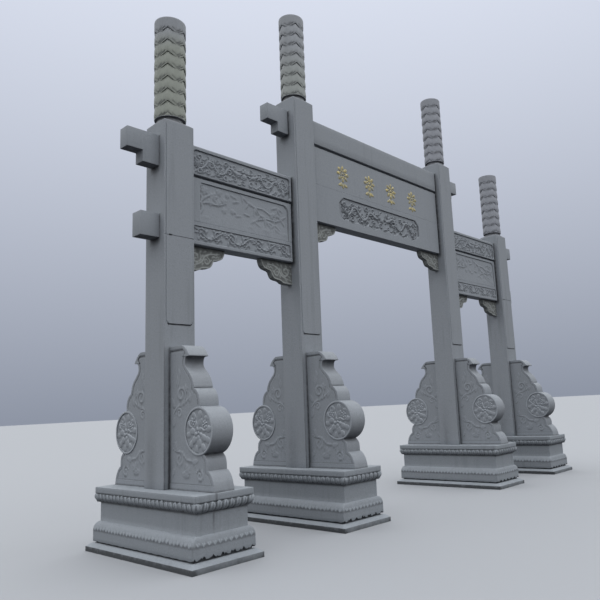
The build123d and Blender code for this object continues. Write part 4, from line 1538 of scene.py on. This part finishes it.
def make_bays():
    """The beams, panels and lintels between the pillars."""
    beam_rows = (0.052, 0.058, 0.064)
    panel_rows = (0.0345, 0.0330, 0.082, 0.088, 0.094)
    side = (("top_beam", "beast_beam", SIDE_LEVELS[2:], draw_top_beam, PROUD_HALF, 0.0112, 0.020,
             beam_rows),
            ("panel", "garden_panel", SIDE_LEVELS[1:3], draw_panel, FLUSH_HALF, 0.0125, 0.004, panel_rows),
            ("lower_beam", "vine_beam", SIDE_LEVELS[:2], draw_scroll_beam, FLUSH_HALF, 0.0112, 0.004,
             beam_rows))
    stepped = (HEAD_HALF, LONG_END, SHORT_END, END_STEP)
    for name, way in (("left", -1), ("right", 1)):
        span = sorted((way * SIDE_FACE, way * FAR_FACE))
        for part, title, levels, draw, half, step, crest, rows in side:
            meshes = bay_stone(span, levels, half, draw, step, 0.005, crest, rows, SIDE_SHADE_AND_GRIME)
            if part == "top_beam":
                meshes.append(head_mesh(way * FAR_FACE, way, levels, *stepped))
            if part == "lower_beam":
                meshes.append(head_mesh(way * FAR_FACE, way, levels, LOWER_HEAD_HALF, LOWER_END))
            place_piece(f"{name}_{title}", joined(part, meshes), CARVED, f"{name}_{part}")
    field_rows = (0.0865, 0.0925, 0.0985)
    plaque_rows = (0.0425, 0.0410)
    centre = (("centre_top_beam", "centre_tie_beam", DRESSED, CENTRE_LEVELS[2:], plain, PROUD_HALF,
               0.12, 0.005, 0.022, field_rows),
              ("centre_plaque", "centre_bare_field", DRESSED, CENTRE_LEVELS[1:3], draw_plaque, FLUSH_HALF,
               0.12, 0.002, 0.002, plaque_rows),
              ("centre_lintel", "cartouche_lintel", CARVED, CENTRE_LEVELS[:2], draw_lintel, FLUSH_HALF,
               0.0125, 0.002, 0.002, field_rows))
    span = (-CENTRE_FACE, CENTRE_FACE)
    for node, title, material, levels, draw, half, step, arris, crest, rows in centre:
        meshes = bay_stone(span, levels, half, draw, step, arris, crest, rows, CENTRE_SHADE_AND_GRIME)
        if node == "centre_top_beam":
            meshes += [head_mesh(way * CENTRE_FACE, way, levels, *stepped, 0.016) for way in (-1, 1)]
        place_piece(title, joined("beam", meshes), material, node)


make_bays()


# Gilded flowers on the bare field

FLOWER_PLACES = (-1.04, -0.34, 0.28, 0.94)
FLOWER_LEVEL = 5.425
FLOWER_SIZE = (0.34, 0.44)


def gilded_flower():
    """A round open flower over a bud and two leaves, on a slab let into the stone and facing -Y."""
    w, h = FLOWER_SIZE
    art = Relief(np.linspace(-0.5 * w, 0.5 * w, 35), np.linspace(-0.5 * h, 0.5 * h, 47))
    middle = 0.055
    for reach, size, first in ((0.108, 0.046, 0.0), (0.056, 0.024, 22.5)):
        art.ring(0.0, middle, reach, 8, first, size, 0.74, (0.95,))
    art.dome(0.0, middle, 0.026, 0.026, 0, 1.0)
    for turn in (-22, 202):
        art.leaf(0.0, -0.118, turn, 0.135, 0.034, 0.9, 0.2)
    art.dome(0.0, -0.165, 0.046, 0.026, 90, 1.0)
    stone = Stone()
    thick(stone, art.u[None, :], art.v[:, None], 0.006 - 0.018 * art.h, 0.020)
    return stone


def make_flowers():
    """The gilded flowers on both faces of the bare field."""
    stone = gilded_flower()
    for side, turn in (("front", 0.0), ("back", math.pi)):
        for number, x in enumerate(FLOWER_PLACES, start=1):
            flower = moved(stone.mesh("flower"), x, -FLUSH_HALF, FLOWER_LEVEL)
            flower.transform(Matrix.Rotation(turn, 4, "Z"))
            place_piece(f"gilded_flower_{side}_{number}", flower, GOLD, None, ROUND_EDGE)


make_flowers()


# Brackets

BRACKET_HALF = 0.052
BRACKET_UNDERSIDE = [(0.0, 0.338), (0.150, 0.333), (0.190, 0.322), (0.215, 0.304), (0.250, 0.294),
                     (0.300, 0.289), (0.345, 0.278), (0.372, 0.257), (0.392, 0.222), (0.405, 0.186),
                     (0.430, 0.168), (0.470, 0.160), (0.520, 0.148), (0.555, 0.125), (0.578, 0.085),
                     (0.592, 0.040), (0.599, 0.004)]


def bracket_mesh():
    """A scrolled bracket reaching along +X from a pillar face at the origin, under a stone at height 0."""
    reach = BRACKET_UNDERSIDE[-1][0]
    out = [p[0] for p in BRACKET_UNDERSIDE]
    xs = spaced([*np.linspace(0, reach, 56), *out], 0.003)
    depth = np.interp(xs, out, [p[1] for p in BRACKET_UNDERSIDE])
    rows = np.concatenate([[0.0, 0.02], np.linspace(0.05, 0.95, 27), [0.98, 1.0]])
    z = -rows[:, None] * depth[None, :]
    x = np.broadcast_to(xs, z.shape)
    wide, tall = 0.6, 0.34
    art = Relief(np.linspace(0, wide, 101), np.linspace(-tall, 0, 69))
    art.ridge(curl(0.13, -0.15, 0.085, 0.015, 40, -540), 0.013, 1.0)
    art.ridge(smooth_path([(0.02, -0.27), (0.12, -0.26), (0.22, -0.21), (0.27, -0.13), (0.36, -0.09),
                           (0.52, -0.07)]), 0.014, 1.0)
    art.ridge(curl(0.30, -0.19, 0.055, 0.01, 90, -480), 0.011, 0.9)
    art.ridge(curl(0.44, -0.105, 0.036, 0.008, 120, -460), 0.009, 0.9)
    for k in range(26):
        px = 0.05 + 0.085 * (k % 6) + 0.03 * (k // 6 % 2)
        pz = -0.05 - 0.055 * (k // 6)
        art.leaf(px, pz, 205 + 17 * (k % 3), 0.060, 0.015, 0.8, 0.0)
    height = sampled(art.h, (z + tall) / tall * (len(art.v) - 1), x / wide * (len(art.u) - 1))
    rim = edge_distance(x, -z, [(d, r) for r, d in BRACKET_UNDERSIDE])
    height = np.where(rim < 0.018, 0.7, np.where(rim < 0.026, 0.0, height))
    off = 0.007 * (height - 1.0)
    off[z > -0.020] = -0.022
    # Painted shadow under the stone above, fading down the bracket, painted shade and highlights on the
    # carving, and its rim painted dark as shade
    shade = np.interp(-z, (0.0, 0.05, 0.12, 0.34), (1.0, 0.50, 0.25, 0.15))
    dark = np.where(z > -0.020, 1.0, np.clip(shade + 1.3 * (0.5 - height), -0.8, 1.0))
    stone = Stone()
    thick(stone, x, z, -BRACKET_HALF - off, BRACKET_HALF + off, dark, dark, 0.9)
    return stone


def make_brackets():
    """The six brackets under the lintels."""
    stone = bracket_mesh()
    side, centre = SIDE_LEVELS[0], CENTRE_LEVELS[0]
    places = {"left_outer_bracket": (-FAR_FACE, side, 1), "left_inner_bracket": (-SIDE_FACE, side, -1),
              "centre_left_bracket": (-CENTRE_FACE, centre, 1),
              "centre_right_bracket": (CENTRE_FACE, centre, -1),
              "right_inner_bracket": (SIDE_FACE, side, 1), "right_outer_bracket": (FAR_FACE, side, -1)}
    for node, (x, z, way) in places.items():
        mesh = moved(stone.mesh("bracket"), x, 0, z, 0.0 if way > 0 else math.pi)
        place_piece(f"scroll_{node}", mesh, MOSSED, node)


make_brackets()


# Stage, light and camera

FLOOR_REACH = 400.0
FLOOR_LIT = (0.05, 0.05, 0.055)
FLOOR_SEEN = (0.27, 0.28, 0.30)
SKY_LOW = (0.27, 0.30, 0.37)
SKY_HIGH = (0.70, 0.745, 0.86)
SKY_TINT = (0.96, 0.98, 1.0)
KEY_SIZE = (14.0, 9.0)
KEY_POWER = 180.0
KEY_PLACE = (2.0, -14.0, 16.0)
KEY_AIM = (0.0, 0.0, 3.2)


def make_stage():
    """A floor that looks pale in the picture and throws little light."""
    material, tree, shader, _ = blank_material("pale_floor")
    seen = tree.nodes.new("ShaderNodeLightPath").outputs["Is Camera Ray"]
    feed(tree, shader.inputs["Base Color"], mix_colour(tree, seen, FLOOR_LIT, FLOOR_SEEN))
    feed(tree, shader.inputs["Roughness"], 0.95)
    mesh = bpy.data.meshes.new("floor")
    corners = [(FLOOR_REACH * x, FLOOR_REACH * y, 0) for x, y in ((-1, -1), (1, -1), (1, 1), (-1, 1))]
    mesh.from_pydata(corners, [], [(0, 1, 2, 3)])
    floor = bpy.data.objects.new("floor", mesh)
    bpy.context.scene.collection.objects.link(floor)
    mesh.materials.append(material)


def make_light():
    """An overcast sky, brightest overhead, and a weak, wide lamp in front."""
    world = bpy.data.worlds.new("studio")
    bpy.context.scene.world = world
    world.use_nodes = True
    tree = world.node_tree
    place = tree.nodes.new("ShaderNodeTexCoord").outputs["Generated"]
    height = add(tree, "ShaderNodeSeparateXYZ", {0: place}).outputs[2]
    dome = add(tree, "ShaderNodeMapRange", {0: height, 1: -0.02, 2: 1.0, 3: 0.32, 4: 2.50})
    climb = add(tree, "ShaderNodeMapRange", {0: height, 1: 0.0, 2: 0.6})
    sky = mix_colour(tree, climb.outputs[0], SKY_LOW, SKY_HIGH)
    glow = mix_colour(tree, 1.0, SKY_TINT, dome.outputs[0], "MULTIPLY")
    seen = tree.nodes.new("ShaderNodeLightPath").outputs["Is Camera Ray"]
    feed(tree, tree.nodes["Background"].inputs["Color"], mix_colour(tree, seen, glow, sky))
    lamp = bpy.data.lights.new("soft_key", "AREA")
    lamp.shape = "RECTANGLE"
    lamp.size, lamp.size_y = KEY_SIZE
    lamp.energy = KEY_POWER
    key = bpy.data.objects.new("soft_key", lamp)
    bpy.context.scene.collection.objects.link(key)
    key.location = KEY_PLACE
    aim = Vector(KEY_AIM) - key.location
    key.rotation_euler = aim.to_track_quat("-Z", "Y").to_euler()


# The photograph's camera, as solved from the gate's own edges
EYE = (-8.443, -6.716, 1.6)
YAW, PITCH, ROLL = (math.radians(a) for a in (40.798, 9.705, -2.985))
FOCAL_PIXELS = 612.546
FRAME_PIXELS = 600.0
CENTRE_PIXEL = 358.647


def make_camera():
    """The camera where the photograph was taken."""
    flat = math.cos(PITCH)
    forward = Vector((math.cos(YAW) * flat, math.sin(YAW) * flat, math.sin(PITCH)))
    level = Vector((math.sin(YAW), -math.cos(YAW), 0.0))
    above = level.cross(forward)
    right = level * math.cos(ROLL) + above * math.sin(ROLL)
    up = above * math.cos(ROLL) - level * math.sin(ROLL)
    camera = bpy.data.cameras.new("photo_camera")
    camera.sensor_fit = "HORIZONTAL"
    camera.sensor_width = 36.0
    camera.lens = FOCAL_PIXELS / FRAME_PIXELS * camera.sensor_width
    camera.shift_x = -(CENTRE_PIXEL - FRAME_PIXELS / 2) / FRAME_PIXELS
    camera.clip_end = 1500.0
    eye = bpy.data.objects.new("photo_camera", camera)
    bpy.context.scene.collection.objects.link(eye)
    turn = Matrix((right, up, -forward)).transposed().to_4x4()
    eye.matrix_world = Matrix.Translation(EYE) @ turn
    bpy.context.scene.camera = eye


make_stage()
make_light()
make_camera()
bpy.context.scene.view_settings.view_transform = "Standard"
